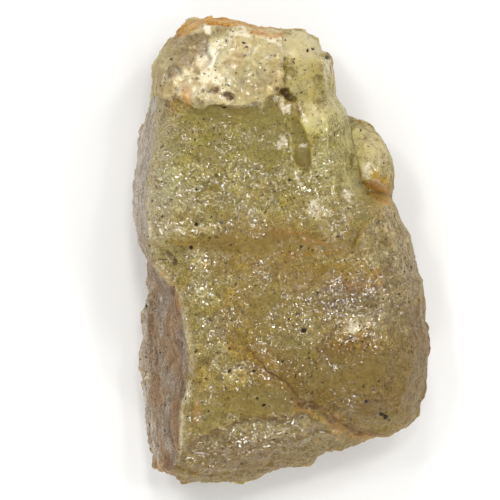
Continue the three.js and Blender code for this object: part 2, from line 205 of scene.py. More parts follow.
def from_path(x, y, path):
    """The distance to a path, and the side that a point is on: 1 on the left of its direction."""
    nearest = np.full(x.shape, np.inf)
    side = np.ones(x.shape)
    for (ax, ay), (bx, by) in zip(path, path[1:]):
        dx, dy = bx - ax, by - ay
        along = np.clip(((x - ax) * dx + (y - ay) * dy) / (dx * dx + dy * dy), 0, 1)
        distance = np.hypot(x - ax - along * dx, y - ay - along * dy)
        closer = distance < nearest - NEARER_BY
        nearest = np.where(closer, distance, nearest)
        side = np.where(closer, np.where(dx * (y - ay) - dy * (x - ax) > 0, 1, -1), side)
    return nearest, side


def inside(x, y, outline):
    """How far a point is inside a closed outline, negative outside it."""
    within, loop = np.zeros(x.shape, bool), outline + outline[:1]
    for (ax, ay), (bx, by) in zip(loop, loop[1:]):
        if ay != by:
            left = x < (bx - ax) * (y - ay) / (by - ay) + ax
            within ^= ((ay > y) != (by > y)) & left
    distance, _ = from_path(x, y, loop)
    return np.where(within, distance, -distance)


def around(x, y, values):
    """A value that changes smoothly around the stone, from eight given values."""
    eighths = (np.arctan2(y, ELONGATION * x) / (2 * math.pi) * 8 + 8) % 8
    i = np.floor(eighths).astype(int)
    values = np.array(values, float)
    return mix(values[i % 8], values[(i + 1) % 8], smoothstep(0, 1, eighths - i))


def random_at(i, j, k, seed):
    """A repeatable random number from -1 to 1 for each point of a whole-number lattice."""
    low_bits = np.uint64(0xFFFFFFFF)

    def times(value, factor):
        return (value * np.uint64(factor)) & low_bits

    i, j, k = (np.asarray(n, np.int64).astype(np.uint64) for n in (i, j, k))
    h = times(i, 374761393) ^ times(j, 668265263) ^ times(k, 1274126177)
    h = times(h ^ times(np.uint64(seed), 2246822519), 3266489917)
    h = times(h ^ (h >> np.uint64(15)), 2246822519)
    h = times(h ^ (h >> np.uint64(13)), 3266489917)
    return ((h ^ (h >> np.uint64(16))) & np.uint64(0xFFFF)).astype(float) / 0x7FFF - 1


def lumps(x, y, z, seed):
    """Smooth lumps between -1 and 1, one lattice cell across."""
    i, j, k = np.floor(x), np.floor(y), np.floor(z)
    u, v, w = (smoothstep(0, 1, t) for t in (x - i, y - j, z - k))

    def row(b, c):
        ends = (random_at(i + a, j + b, k + c, seed) for a in (0, 1))
        return mix(*ends, u)

    return mix(mix(row(0, 0), row(1, 0), v), mix(row(0, 1), row(1, 1), v), w)


def layered(x, y, z, layers):
    """Lumps on top of each other. A layer is the size of its lumps, their rise and its seed."""
    total = 0
    for size, rise, seed in layers:
        size_x, size_y, size_z = np.broadcast_to(size, 3)
        total = total + rise * lumps(x / size_x, y / size_y, z / size_z, seed)
    return total


def facets(x, y, z, size=FACET_SIZE, tilt=FACET_TILT, sharpness=FACET_SHARPNESS, first_seed=1):
    """Broken facets: each lattice cell holds one tilted plane, and neighbours meet in creases."""
    home = [np.floor(t / size).astype(int) for t in (x, y, z)]
    low = [cell.min() - 1 for cell in home]
    spans = [np.arange(cell.min() - 1, cell.max() + 2) for cell in home]
    lattice = np.meshgrid(*spans, indexing="ij")
    draws = [random_at(*lattice, first_seed + n) for n in range(6)]
    total, weight = np.zeros(x.shape), np.zeros(x.shape)
    for da in (-1, 0, 1):
        for db in (-1, 0, 1):
            for dc in (-1, 0, 1):
                cell = [home[0] + da, home[1] + db, home[2] + dc]
                place = tuple(c - lowest for c, lowest in zip(cell, low))
                away = [
                    t - (c + 0.5 + FACET_SHIFT * draws[n][place]) * size
                    for n, (t, c) in enumerate(zip((x, y, z), cell))
                ]
                squared = away[0] ** 2 + away[1] ** 2 + away[2] ** 2
                near = np.exp(-sharpness * squared / size**2) + BARELY
                height = sum(draws[3 + n][place] * away[n] for n in range(3))
                total += near * tilt * height
                weight += near
    return total / weight


def relief(x, y, z):
    """How far the broken surface stands out from the smooth form."""
    whole = facets(x, y, z) + layered(x, y, z, LUMPS)
    return whole * mix(1, FACE_SHARE, smoothstep(ROUGH_BELOW, CALM_ABOVE, z))


def raggedly(x, y, much=1):
    """The same places, moved a little this way and that, which makes the edge of an area ragged."""
    shift_x, shift_y = (
        layered(x, y, 0 * x, [(size, much * reach, seed + n) for size, reach, seed in RAGGED])
        for n in (0, 1)
    )
    return x + shift_x, y + shift_y


def crack_height(x, y):
    """How far the crack raises or lowers the face."""
    distance, side = from_path(x, y, CRACK)
    opened = smoothstep(0, CRACK_FADE, off(x, y, CRACK[0]))
    lip = 0.5 * CRACK_STEP * -side * opened * (1 - smoothstep(0, CRACK_FADE, distance))
    return lip - CRACK_DEPTH * (1 - smoothstep(0, CRACK_WIDTH, distance))


def face_height(x, y):
    """The height of the face, before its edge rounds off."""
    height = np.full(x.shape, float(FACE_HEIGHT))
    for middle_x, middle_y, rx, ry, rise in SWELLS:
        height += rise * np.exp(-(((x - middle_x) / rx) ** 2) - ((y - middle_y) / ry) ** 2)
    foot = FOOT["height"] + FOOT["fall_y"] * (y - FOOT["y"]) - FOOT["fall_x"] * (x - FOOT["x"])
    height = smooth_min(height, foot, CREASE)
    for outline, rise, edge, much in TERRACES:
        height += rise * smoothstep(0, edge, inside(*raggedly(x, y, much), outline))
    fall = WINDOW_FALL["deepest"] * smoothstep(WINDOW_FALL["from"], WINDOW_FALL["to"], x)
    height -= fall * smoothstep(0, WINDOW_FALL["edge"], inside(*raggedly(x, y, WINDOW_RAGGED), WINDOW))
    return height + crack_height(x, y)


def along_flats(share, flats):
    """The share of the height gained at a share of the way in, along a row of flats."""
    ways, gains = zip(*flats)
    return np.interp(share, ways, gains)


def top_height(x, y, inward):
    """The height of the stone's upper surface over a point that lies the given way in."""
    edge = around(x, y, EDGE_HEIGHT)
    gain = along_flats(inward / around(x, y, EDGE_ROUND), FACE_FLATS)
    distance, side = from_path(x, y, RIDGE)
    face = face_height(x, y)
    lower = mix(SIDE_FALL["notch"], SIDE_FALL["lower"], smoothstep(NOTCH["easing"], NOTCH["end"], y))
    fall = mix(SIDE_FALL["upper"], lower, smoothstep(NOTCH["start"], NOTCH["open"], y))
    shelf = SHELF["height"] + SHELF["climb"] * np.maximum(0, inward)
    side_height = -smooth_min(-(face - fall * distance), -shelf, CREASE)
    face_top = mix(edge, face, gain)
    return np.where(side > 0, face_top, np.minimum(face_top, side_height))


def back_height(x, y, inward):
    """The height of the stone's back, before it is broken flat."""
    gain = along_flats(inward / around(x, y, BACK_ROUND), BACK_FLATS)
    return mix(around(x, y, EDGE_HEIGHT), -BELLY, gain)


def lobe_distance(x, y, z):
    """Roughly how far a point is outside the lobe, negative inside it."""
    across, along = turned(x - LOBE_CENTRE[0], y - LOBE_CENTRE[1], LOBE_TURN)
    offsets = zip((across, along, z - LOBE_CENTRE[2]), LOBE_RADII)
    return (np.sqrt(sum((offset / radius) ** 2 for offset, radius in offsets)) - 1) * min(LOBE_RADII)


def stone_field(axes):
    """The field on the grid: roughly how far a point is outside the stone, negative inside it."""
    ground_x, ground_y = np.meshgrid(axes[0], axes[1], indexing="ij")
    inward = inside(ground_x, ground_y, OUTLINE)
    top = top_height(ground_x, ground_y, inward)[:, :, None]
    back = back_height(ground_x, ground_y, inward)[:, :, None]
    x, y, z = np.meshgrid(*axes, indexing="ij", sparse=True)
    body = np.maximum(-inward[:, :, None], np.maximum(z - top, back - z) / LEVEL_SHARE)
    field = smooth_min(body, lobe_distance(x, y, z), LOBE_FILLET)
    near = np.nonzero(np.abs(field) < BAND)
    field[near] -= relief(*(axis[index] for axis, index in zip(axes, near)))
    return np.maximum(field, -z)


def surface_of(field):
    """One point in each grid cell that the zero surface crosses, and one face across each grid edge
    that it crosses. Returns the points in millimetres and the faces, four points each."""
    outside = field > 0
    shape = [n - 1 for n in field.shape]
    corners = [(a, b, c) for a in (0, 1) for b in (0, 1) for c in (0, 1)]

    def at(corner, values):
        return values[tuple(slice(c, c + n) for c, n in zip(corner, shape))]

    count = sum(at(corner, outside).astype(int) for corner in corners)
    crossed = (count > 0) & (count < 8)
    cells = np.argwhere(crossed)
    number = np.full(shape, -1)
    number[crossed] = np.arange(len(cells))

    total, crossings = np.zeros((len(cells), 3)), np.zeros(len(cells))
    for corner in corners:
        for axis in range(3):
            if corner[axis]:
                continue
            other = tuple(c + (a == axis) for a, c in enumerate(corner))
            va, vb = at(corner, field)[crossed], at(other, field)[crossed]
            through = (va > 0) != (vb > 0)
            share = np.where(through, va / np.where(through, va - vb, 1), 0)
            offset = np.array(corner, float) + share[:, None] * np.eye(3)[axis]
            total[through] += offset[through]
            crossings += through
    points = LOW + (cells + total / crossings[:, None]) * STEP

    faces = []
    across = [((0, 1, 0), (0, 0, 1)), ((0, 0, 1), (1, 0, 0)), ((1, 0, 0), (0, 1, 0))]
    for axis, (u, v) in enumerate(across):
        step = np.eye(3, dtype=int)[axis]
        inner = tuple(slice(1, n) for n in shape)
        further = tuple(slice(1 + s, n + s) for s, n in zip(step, shape))
        here, there = outside[inner], outside[further]
        for start_outside in (False, True):
            places = np.argwhere((here == start_outside) & (there != start_outside)) + 1
            u_, v_ = np.array(u), np.array(v)
            quad = [places, places - u_, places - u_ - v_, places - v_]
            quad = [number[tuple(place.T)] for place in quad]
            faces.append(np.stack(quad[::-1] if start_outside else quad, axis=1))
    return points, np.concatenate(faces)


def normals_of(points, faces):
    """A unit normal for each point, from the faces around it."""
    corner = [points[faces[:, n]] for n in range(4)]
    face_normals = np.cross(corner[2] - corner[0], corner[3] - corner[1])
    normals = np.zeros(points.shape)
    for n in range(4):
        np.add.at(normals, faces[:, n], face_normals)
    return normals / np.maximum(1e-12, np.linalg.norm(normals, axis=1))[:, None]


# The finish of the stone, in patches on its face. A patch is x, y, half-widths, strength, and its turn
# where it has one.
PATCHES = {
    "pale": [  # milky and full of fine flaws; where the points of light gather, paler also as painted sheen
        (0.1, 22.5, 1, 1.7, 0.4, 0.3), (7, 27.2, 3, 3.6, 1, 0.3), (-14, -18, 6, 12, 0.3),
        (10, 19, 5, 8, 0.35), (10.4, 25.6, 3.2, 1.4, 0.8, -0.15), (6.2, 20.5, 0.8, 5.2, 0.6, 0.08),
        (13.9, 11.5, 0.9, 1.6, 1), (6.9, 8.3, 1.7, 2.4, 0.7, 0.3), (14.3, 18, 1, 1.3, 0.7),
        # The paleness at (14.6, -15.8), (-9.8, -26.3), (-17.1, -2.3), (-17.1, -9.2), (-18.8, 5) and (28.3,
        # -10.3), where the points of light gather, is painted sheen, partly milky crystal.
        (3, 16, 0.5, 2.6, 0.7, -0.2), (14.6, -15.8, 3, 2.4, 0.6), (-9.8, -26.3, 2.6, 2, 0.8),
        (-17.1, -2.3, 1.9, 2, 0.7), (-17.1, -9.2, 2.6, 1.6, 0.7), (-18.8, 5, 5.4, 1.6, 0.7),
        (28.3, -10.3, 1.8, 1.4, 0.8), (-6, -37.3, 9.5, 2, 0.9, -0.1), (6.5, -37.5, 4.5, 3, 0.8, -0.5),
        (8.6, 7, 1.6, 1.4, 0.5), (14, -10, 10, 3.2, 0.15), (-20, 14, 4.5, 9, 0.35),
        (-7, 12, 9, 5, 0.15), (9.5, 18, 2.6, 9, 0.5), (11.2, 30.5, 2.6, 6.4, 0.9, 0.1),
        (11, 24, 4, 4, 0.5), (-5, -36.4, 8, 0.8, 1, 0.1), (8.6, -36, 1.6, 0.9, 1, -0.4),
        (10.4, -39, 1.5, 0.8, 0.9, -0.5),
    ],
    "deep": [  # clear and smooth
        (5.6, 34.9, 4.8, 4.2, 0.3), (27.5, -28, 4.5, 9, 0.6), (-16, 28.4, 2.2, 1.6, 0.9),
        (-21.3, 21.6, 2.3, 2.9, 0.6), (-15.4, 19.7, 3.8, 2.4, 0.7), (-8, 28.4, 10.5, 1.8, 0.8),
        (-2.5, 24, 4, 3.4, 0.5), (-4, -31.2, 6.2, 3, 0.8), (-3, 1.6, 19, 1.9, 0.9),
        (14.5, -25, 11, 4.5, 0.8, 0.1), (-3.5, -12, 3.4, 6, 0.4), (20, -31, 7, 4, 0.5, 0.5),
        (-14.6, -35.1, 3.2, 2.8, 0.6), (-3, 20.5, 3.6, 2.6, 0.35, 0.4), (3, -21, 7, 3.4, 0.4, -0.3),
        (2, -5, 8, 3.4, 0.4),
    ],
    "yellow": [
        (-5, 3, 11, 5, 0.45), (14, -6, 8, 4.5, 0.6), (15, -24, 11, 8, 0.6), (3.5, 1.2, 9.5, 2.8, 1),
        (2.6, 2.4, 9, 1.6, 1), (29.5, -20, 3.4, 15, 0.6), (-3, -3.5, 12, 3.5, 0.5),
        (-8.5, -13.5, 5, 8, 0.5), (14, -27, 12, 6, 0.35, 0.2), (-4, -31, 8, 4, 0.35),
        (-8, 40, 4.2, 3.4, 0.8), (-8, -3, 9, 2.4, 0.5), (5, -5, 7, 4, 0.6), (-12, 27, 11, 5, 0.15),
        (-7, 1.6, 14, 1.8, 0.9), (-2, -24, 9, 5, 0.5, -0.6), (-2, 8, 22, 14, 0.2),
        (-4, -12, 16, 8, 0.25), (20, -28.5, 7, 5, 0.5, 0.3), (19.5, 14.2, 3.2, 2.2, 0.8, -0.4),
        (5.4, 35.5, 4.4, 4.6, 0.3), (27.5, -28, 4.5, 9, 0.6),
    ],
    "grey": [
        (-27, 22, 5, 17, 1), (-26, 8, 4, 9, 0.8), (-20, 11, 5, 7, 0.5), (11, 28, 4.6, 3.6, 0.9, -0.2),
        # The greyness at (13.6, -15.4) and (21, -14.5), where the points of light gather, is painted sheen,
        # partly cooler crystal.
        (13.6, -15.4, 4, 2, 0.5), (21, -14.5, 5, 1.8, 0.5), (12.5, 21, 3, 6, 0.6),
        (2, -39, 9, 3.6, 0.4, -0.2), (27, -4, 3, 9, 0.6, 0.2), (-17, 4.8, 5.5, 1.8, 0.3),
        (9.5, 18.5, 3.2, 9.5, 0.55), (11, 29.5, 3, 6, 0.8, 0.1),
    ],
    "shaded": [  # a little darker
        (29.5, -20, 3, 15, 0.9), (13.5, -27, 13, 7.5, 0.9, 0.1), (13.5, -10, 7.5, 3.4, 0.8),
        (1.5, -31, 5, 3, 0.6, -0.4),
    ],
    "cream": [
        (6.8, 27.8, 2.8, 3.4, 0.7, 0.3), (4, 42.4, 4.6, 4, 1),
        (23.5, 5.5, 2.5, 8, 0.35, 0.35), (5.4, 35, 4.6, 4.4, 0.5), (12, 31, 2.4, 5, 0.4, 0.1),
        # The cream at (15.5, 15) is painted light that lifts the shade in the groove beside the lobe.
        (18.2, 17.4, 3, 4.4, 0.6, 0.2), (15.5, 15, 2.6, 3, 0.6), (17.6, 20, 4.6, 7, 0.6, 0.3),
        (9.6, 36, 1.2, 6, 0.4, 0.1), (-12, 45.4, 5, 1.6, 0.5),
    ],
    "warm": [
        (0, 3, 6, 1.6, 0.6), (19, -20, 9, 12, 0.3), (14, -25, 10, 7, 0.5), (16, 2, 5, 5, 0.5),
        (17, -2, 6, 8, 0.2), (9.6, -8.8, 9, 3.2, 0.3), (24, -6, 6, 10, 0.4), (-14, -25, 6, 10, 0.25),
        (-14, -43, 9, 4, 0.6), (23, 4, 3, 8, 0.6, 0.3), (-1.8, -44.5, 7, 2, 0.5, -0.2),
        (-23, 34, 1.8, 6, 0.7), (20, -31, 9, 4, 0.4, 0.4),
    ],
    "green": [
        (-13, -16, 7, 14, 0.3), (-1, 18, 12, 10, 0.8), (5.6, 35.2, 4.8, 4.9, 0.6),
        (-7, 27.5, 15, 3, 0.6), (-12, 18, 13, 10, 0.8), (10, 20, 7, 10, 0.7),
        (-10, 1.8, 10, 1.8, 0.3), (12, 25, 5, 5, 0.4),
    ],
    "iron": [  # rust
        (-9, 47.7, 10.5, 1.1, 1, -0.07), (-18.6, 46.8, 3.6, 1.1, 0.9, 0.6),
        (-3.6, 45.2, 4.2, 0.9, 0.8, -0.1), (-19.7, 31.7, 1.1, 2.4, 0.65),
        (20.5, 13.2, 2.4, 1, 0.7, -0.5), (-9.3, 39.6, 1.6, 2, 0.4), (4.6, -32.2, 3, 1.7, 0.35, -0.3),
        (10.8, -35.2, 4.2, 1.6, 0.35, -0.85), (16.6, -38.6, 4.2, 1.2, 0.5, -0.4),
        (-24.4, -4.8, 2.6, 0.5, 0.4, -0.85), (-21.6, -9.6, 0.7, 3.4, 0.4, 0.25),
        (6.2, 1.8, 3.4, 0.8, 0.5, -0.1), (21.5, 11, 3.4, 1.2, 0.5, -0.3),
        (-22.2, -36, 0.5, 6, 0.2, 0.06), (-17.8, -33.6, 0.9, 2.4, 0.4), (14.5, -7.5, 1.2, 0.8, 0.4),
    ],
    "brown": [  # dark brown in the pits
        (0.4, 33.1, 1.1, 0.6, 0.7, 0.5), (1.7, 31.6, 1.3, 0.65, 0.7, -0.7),
        (-0.9, 33.4, 0.8, 0.5, 0.6, 0.2), (-13.9, 33.4, 1.4, 0.8, 0.8, 0.5),
        (-11, 32.2, 1.7, 0.7, 0.8, -0.2), (-15.8, 33, 0.9, 0.5, 0.6, -0.3), (-22.4, -8.2, 0.7, 1, 0.7),
        (-23.2, -0.6, 1.1, 0.4, 1, -0.6), (-24.6, -1.7, 1.1, 0.3, 0.8),
        (-22.1, -2.2, 0.4, 1.2, 1, 0.1), (5, -31.9, 3.2, 1, 0.65, -0.3),
        (3.4, -31, 1.2, 0.6, 0.6, -0.6), (9.4, -34.4, 2.8, 0.8, 0.5, -0.75),
        (19.3, 12, 2.8, 1, 0.4, -0.4), (1.2, 32.3, 0.6, 0.6, 0.9), (9.6, 40.6, 0.6, 0.6, 0.8),
        (15, -37.6, 2.8, 0.7, 0.6, -0.6), (-5.4, 30.6, 1.2, 0.5, 0.6),
    ],
    "white": [  # bruises, and painted glints where the light gathers in small white clusters
        (-0.1, 22.4, 0.5, 1.35, 1, -0.41), (0.75, 22.4, 0.35, 1.2, 0.9, 0.3),
        (3.1, 15.2, 0.3, 1.7, 0.9, 0.26), (4, 13.9, 0.4, 0.5, 0.8), (2.2, 19.2, 0.28, 1.7, 0.7, 0.03),
        (4.2, 28.6, 0.4, 2.3, 0.7, 0.4), (-15, 39.4, 3, 3.6, 1, 0.1), (-15.6, 46, 0.8, 1.3, 1, 0.2),
        (-9, 45.6, 2.6, 1, 0.8), (-20.5, 36, 3.6, 2.2, 0.6), (-17.6, 33, 3, 1.6, 0.5),
        (0.1, 30.2, 0.5, 1.9, 1, 0.15), (1.3, 29.5, 0.45, 1.2, 0.9, 0.2), (-1.2, 31.6, 0.8, 0.9, 0.7),
        (-7.5, 43, 5.5, 3, 0.7), (-3.6, 43.6, 3.4, 2.4, 0.7), (-0.4, 40, 0.7, 5, 0.9),
        (14.8, -15.8, 1.3, 1.1, 0.8, 0.3), (6.8, 8.9, 1.4, 2, 0.6, 0.2), (13.8, 11.6, 1, 1.5, 0.7),
        (17.8, 16.4, 0.9, 1.6, 1), (20, 13.9, 2.2, 0.7, 0.7, -0.5), (4.6, 22, 1.2, 0.4, 0.6, 0.2),
        (-7, 30.5, 3.4, 0.6, 0.8, 0.1), (9.4, 37.5, 1, 3, 0.5, 0.1), (-13.5, 38, 3.6, 4.4, 1, 0.2),
    ],
    "smoky": [  # smoky grey parts of the crust
        (-19.8, 43.4, 1.8, 1.3, 1, 0.4), (-17, 42.2, 1.5, 2, 0.9, 0.2), (-15.8, 44.4, 1.2, 0.8, 0.8),
        (-18, 42.6, 3.6, 2.8, 0.6, 0.4), (-20.8, 40, 2.6, 1.4, 0.6, 0.5), (-6.4, 34.4, 3, 2.6, 0.4),
        (-22.4, 37.4, 2.6, 1.5, 0.8, 0.4), (-25, 35, 0.8, 3, 0.5),
    ],
    "glints": [  # where the points of light gather
        (14.5, -11, 10.5, 4.4, 1, 0.05), (14.6, -15.8, 4.4, 3.2, 1), (-17.5, 5, 6, 1.9, 1),
        (-17.1, -2.3, 2.8, 2.6, 0.9), (-17.1, -9.2, 3, 2.2, 0.9), (-9.8, -26.3, 3.4, 2.6, 1),
        (-7.5, 5, 5, 2.2, 0.7), (-12, 14, 12, 5.5, 0.6), (9, 14, 7, 10, 0.5), (28, -10, 2.6, 3.6, 0.8),
        (-3, -38.5, 15, 4.6, 0.9, -0.08), (3, -12.5, 6, 5, 0.5), (1, -20, 6, 4, 0.4),
        (0.1, 22.5, 1.3, 2, 1, 0.3), (-3, -26.3, 3.6, 1.3, 1, -0.7), (25, -8, 5, 9, 0.6),
        (20, 2, 5, 6, 0.4), (-14, -16, 3, 3, 0.7), (-3, -5, 3, 3, 0.5), (11.6, 25, 2, 1.6, 0.9),
        (-11.5, 22, 2, 2, 0.6), (10, -23, 8, 3, 0.3),
    ],
}

# Grains of paler crystal in the window, as patches too
WINDOW_GRAINS = [
    (4, 21.8, 2.4, 0.5, 2, 0.15), (3, 23.1, 0.5, 0.5, 1.5), (4.7, 17.2, 1.4, 0.4, 0.8),
]
FINE_CRACKS = [
    # path, and how strong the brown line along it is
    (CRACK, 1),
    ([[-12.9, 2.3], [-13.1, 1], [-12.5, 0]], 0.8),
    ([[-11.6, 8.6], [-11.9, 2], [-11.6, -4], [-12.2, -9], [-11.8, -14.5]], 0.35),
    ([[-24.2, 0], [-22.9, -0.7], [-22.2, -1.9], [-22.4, -3.4]], 0.9),
    ([[-17.6, -31.9], [-18.6, -33], [-18.7, -34.6], [-18.1, -35.9]], 0.7),
    ([[-15.8, -38], [-13.4, -37], [-10.8, -36.1], [-5.6, -34.2], [-2.4, -34.9], [2.4, -34]], 1),
    ([[0, 21], [1.8, 20.8], [2.6, 16], [3.6, 13.5]], 0.2),
    ([[14.3, 26.6], [14.9, 22.6], [16, 18.2], [16.6, 14.2]], 0.6),
    ([[12, -34.5], [15.4, -36.6], [20.5, -38.4], [24, -39.2]], 0.9),
]
SPECKS = [
    # x, y and size of the larger dark specks
    (4.5, -16.4, 0.62), (-17.7, 5.5, 0.5), (-18.8, 0.8, 0.45), (-3.7, -31.9, 0.45), (-5.1, -30.5, 0.4),
    (21.5, -34.4, 0.6), (20.6, -33.8, 0.5), (22.3, -35.2, 0.4), (-15.2, -33.2, 0.35),
    (1.6, 14.7, 0.45), (-13.6, 15.7, 0.45), (-17.6, 12.8, 0.35), (5.3, 41.6, 0.45), (6.4, 42, 0.4),
    (9.6, 40.4, 0.5), (-23.5, 25.4, 0.3), (16.5, 25.2, 0.3), (-9.2, 43, 0.3), (2.5, 11, 0.3),
    (-2.8, 22.6, 0.35), (11.4, -6.5, 0.35), (-20.9, -19, 0.3), (0.6, -22.6, 0.3), (17.4, -31.2, 0.45),
    (12.2, -30.8, 0.35),
]

# How far the edges of the patches and of the broad areas wander, in layers of lumps
PATCH_EDGE = [(1.8, 0.35, 21), (0.8, 0.2, 22)]
AREA_EDGE = [(6, 1, 26), (2.5, 0.5, 27)]
PATCH_FADES = (1.45, 0.55)  # where a patch begins and is full, in shares of its half-widths
FARTHEST = 9  # a distance to an edge is kept within this
ON_TOP = 20  # the cracks and specks are above this height
CRACK_ENDS = (0, 1.5)  # how far from its ends a fine crack begins and is full
CRACK_DARKENS = (3, 11)  # how far down the main crack its line begins and is full

# Where each area of the surface begins and where it is full: heights (z), places across the stone
# (x), places along it (y), and distances
FACE_Z = (11, 17)
FACE_DIPS_X = (20, 25)  # past this, the finish of the face reaches further down
FACE_DIPS_BY = 8
CRUST_Z = 17
CRUST_UNEVEN = 5
LEFT_FROM_RIDGE = (0, 0.5)
LEFT_Z = (2, 8)
LEFT_Y = (47, 42)
LEFT_UNEVEN = {"z": 3, "y": 2}  # how far its ends wander
FLANK_FACING = (0.1, 0.9)  # how far it faces to the right
FLANK_RAGGED = 0.4
FLANK_Y = (14, 8)
FLANK_FULL_Y = (-16, -6)
FLANK_LOW_SHARE = 0.45  # how much of it there is below that
FLANGE_FROM_EDGE = (2.1, 1.4)  # how far in from the outline, on the left side
FLANGE_RAGGED = 0.5
FLANGE_Z = (9, 12)
FLANGE_TOP_Y = (-4, -8)
FLANGE_FOOT_Y = (-46, -42)
UNDER_Z = (14, 9)  # the lower part, all around
HIGH_Z = 28  # the window, and the block of the crust, lie above this height
BLOCK_RAGGED = 0.6
COARSE_Z = 12
RIM_WITHIN = (0.7, 0.2)  # how far from the line of the ridge
CRUST_GLITTERS = (-0.2, 0.5)
STAINS = [((7, 7, 5), 1, 25)]  # rust below the face
STAINS_BEGIN = (0.25, 0.6)
ASIDE = (0.92, 0.7)  # how far up a surface faces that is a little aside, or steep
STEEP = (0.7, 0.4)


def patched(x, y, patches, ragged):
    """The strongest of the patches at each point, with ragged edges."""
    strongest = np.zeros(x.shape)
    for middle_x, middle_y, rx, ry, strength, *turns in patches:
        across, along = turned(x - middle_x, y - middle_y, sum(turns))
        reach = np.hypot(across / rx, along / ry)
        strongest = np.maximum(strongest, strength * smoothstep(*PATCH_FADES, reach + ragged))
    return strongest


def cracks(x, y):
    """The distance to the nearest fine crack, with a sign for its side, and how strong it is there."""
    nearest, strength = np.full(x.shape, float(FARTHEST)), np.zeros(x.shape)
    for path, share in FINE_CRACKS:
        distance, side = from_path(x, y, path)
        fading = smoothstep(*CRACK_ENDS, off(x, y, path[0])) * smoothstep(*CRACK_ENDS, off(x, y, path[-1]))
        if path is CRACK:
            fading = smoothstep(*CRACK_DARKENS, off(x, y, path[0]))
        closer = distance < np.abs(nearest)
        nearest = np.where(closer, distance * side, nearest)
        strength = np.where(closer, share * fading, strength)
    return nearest, strength


def speck_depth(x, y):
    """How far a point is inside the nearest of the larger specks."""
    depth = np.full(x.shape, -float(FARTHEST))
    for *place, size in SPECKS:
        depth = np.maximum(depth, size - off(x, y, place))
    return depth


def finish_of(points, normals):
    """What the surface is like at each point, by name. Names with _in or _off are distances in
    millimetres to the edge of an area, positive inside it, or to a line. The others are shares."""
    x, y, z = points.T
    ragged, uneven = layered(x, y, z, PATCH_EDGE), layered(x, y, z, AREA_EDGE)
    face = smoothstep(*FACE_Z, z + FACE_DIPS_BY * smoothstep(*FACE_DIPS_X, x))
    crust = np.minimum(inside(*raggedly(x, y), CRUST), 0.5 * (z - CRUST_Z - CRUST_UNEVEN * uneven))
    window = np.minimum(inside(*raggedly(x, y, WINDOW_RAGGED), WINDOW), z - HIGH_Z)
    window -= patched(x, y, WINDOW_GRAINS, ragged)
    block = np.minimum(inside(*raggedly(x, y, BLOCK_RAGGED), BLOCK), z - HIGH_Z)
    coarse = np.minimum(inside(x, y, COARSE_FACET), 0.5 * (z - COARSE_Z))

    ridge_distance, ridge_side = from_path(x, y, RIDGE)
    left = np.where(ridge_side < 0, smoothstep(*LEFT_FROM_RIDGE, ridge_distance), 0)
    left *= smoothstep(*LEFT_Z, z + LEFT_UNEVEN["z"] * uneven)
    left *= smoothstep(*LEFT_Y, y + LEFT_UNEVEN["y"] * uneven)
    flank = smoothstep(*FLANK_FACING, normals[:, 0] + FLANK_RAGGED * ragged) * smoothstep(*FLANK_Y, y)
    flank *= mix(FLANK_LOW_SHARE, 1, smoothstep(*FLANK_FULL_Y, y))
    flange = smoothstep(*FLANGE_FROM_EDGE, inside(x, y, OUTLINE) + FLANGE_RAGGED * ragged)
    flange *= smoothstep(*FLANGE_Z, z) * smoothstep(*FLANGE_TOP_Y, y) * smoothstep(*FLANGE_FOOT_Y, y)
    under = smoothstep(*UNDER_Z, z)
    crack, crack_strength = cracks(x, y)

    finish = {name: patched(x, y, patches, ragged) * face for name, patches in PATCHES.items()}
    stains = smoothstep(*STAINS_BEGIN, layered(x, y, z, STAINS)) * (1 - face) * (1 - left)
    at_least = {
        "iron": 0.5 * stains,
        "warm": 0.5 * np.maximum(flank, under),
        "glints": np.maximum(0.4 * (1 - face), 0.7 * smoothstep(*CRUST_GLITTERS, crust)),
    }
    for name, share in at_least.items():
        finish[name] = np.maximum(finish[name], share)
    edges = {"ridge": ridge_distance * ridge_side, "crust": crust, "window": window}
    edges |= {"block": block, "coarse": coarse}
    for name, distance in edges.items():
        finish[name + "_in"] = np.clip(distance, -FARTHEST, FARTHEST)
    return finish | {
        "aside": smoothstep(*ASIDE, normals[:, 2]),
        "steep": smoothstep(*STEEP, normals[:, 2]),
        "crack_off": np.where(z > ON_TOP, crack, FARTHEST),
        "crack_on": crack_strength,
        "left": left,
        "rim": smoothstep(*RIM_WITHIN, np.hypot(ridge_distance, face_height(x, y) - z)),
        "flange": flange * left,
        "flank": np.maximum(flank, 0.6 * under),
        "speck_in": np.where(z > ON_TOP, speck_depth(x, y), -FARTHEST),
    }


# The fine relief, in layers of lumps and cells of facets
GRIT = [(1.9, 0.07, 31), (1, 0.06, 32), (0.6, 0.05, 33)]
GRAIN = [((0.9, 4, 1.3), 1, 61), ((0.6, 1.6, 0.8), 0.8, 62)]  # along the left side
GRAIN_RISE = 0.17
GRAIN_PATCHES = [(3, 1, 64)]
GRAIN_BEGINS = (-0.4, 0.5)
CHIPS = {"size": 2.2, "tilt": 0.2, "sharpness": 45, "first_seed": 41}
BLOCKS = {"size": 5, "tilt": 0.4, "sharpness": 95, "first_seed": 51}  # on the crust
BREAKS = {"size": 5, "tilt": 0.26, "sharpness": 60, "first_seed": 71}  # on the sides and the back
BREAKS_Z = (20, 12)
RIPPLES = [((3.2, 0.8, 3), 0.13, 63)]  # slanting wavelets where the gloss is
RIPPLE_SLANT = (0.5, -0.1)
CRUST_STARTS = (-0.1, 0.5)
WINDOW_STARTS = (-0.1, 0.6)
COARSE_STARTS = (-0.2, 0.5)
SMOOTHED = 0.75  # how much of its relief the clear crystal loses
PIT_DEPTH = 0.25  # of the brown pits
RIDGE_BEAD = {"rise": 0.15, "within": (0.8, 0.1), "above": 24}  # along the ridge
RELIEF_Z = (0, 1.5)  # no relief where the stone rests


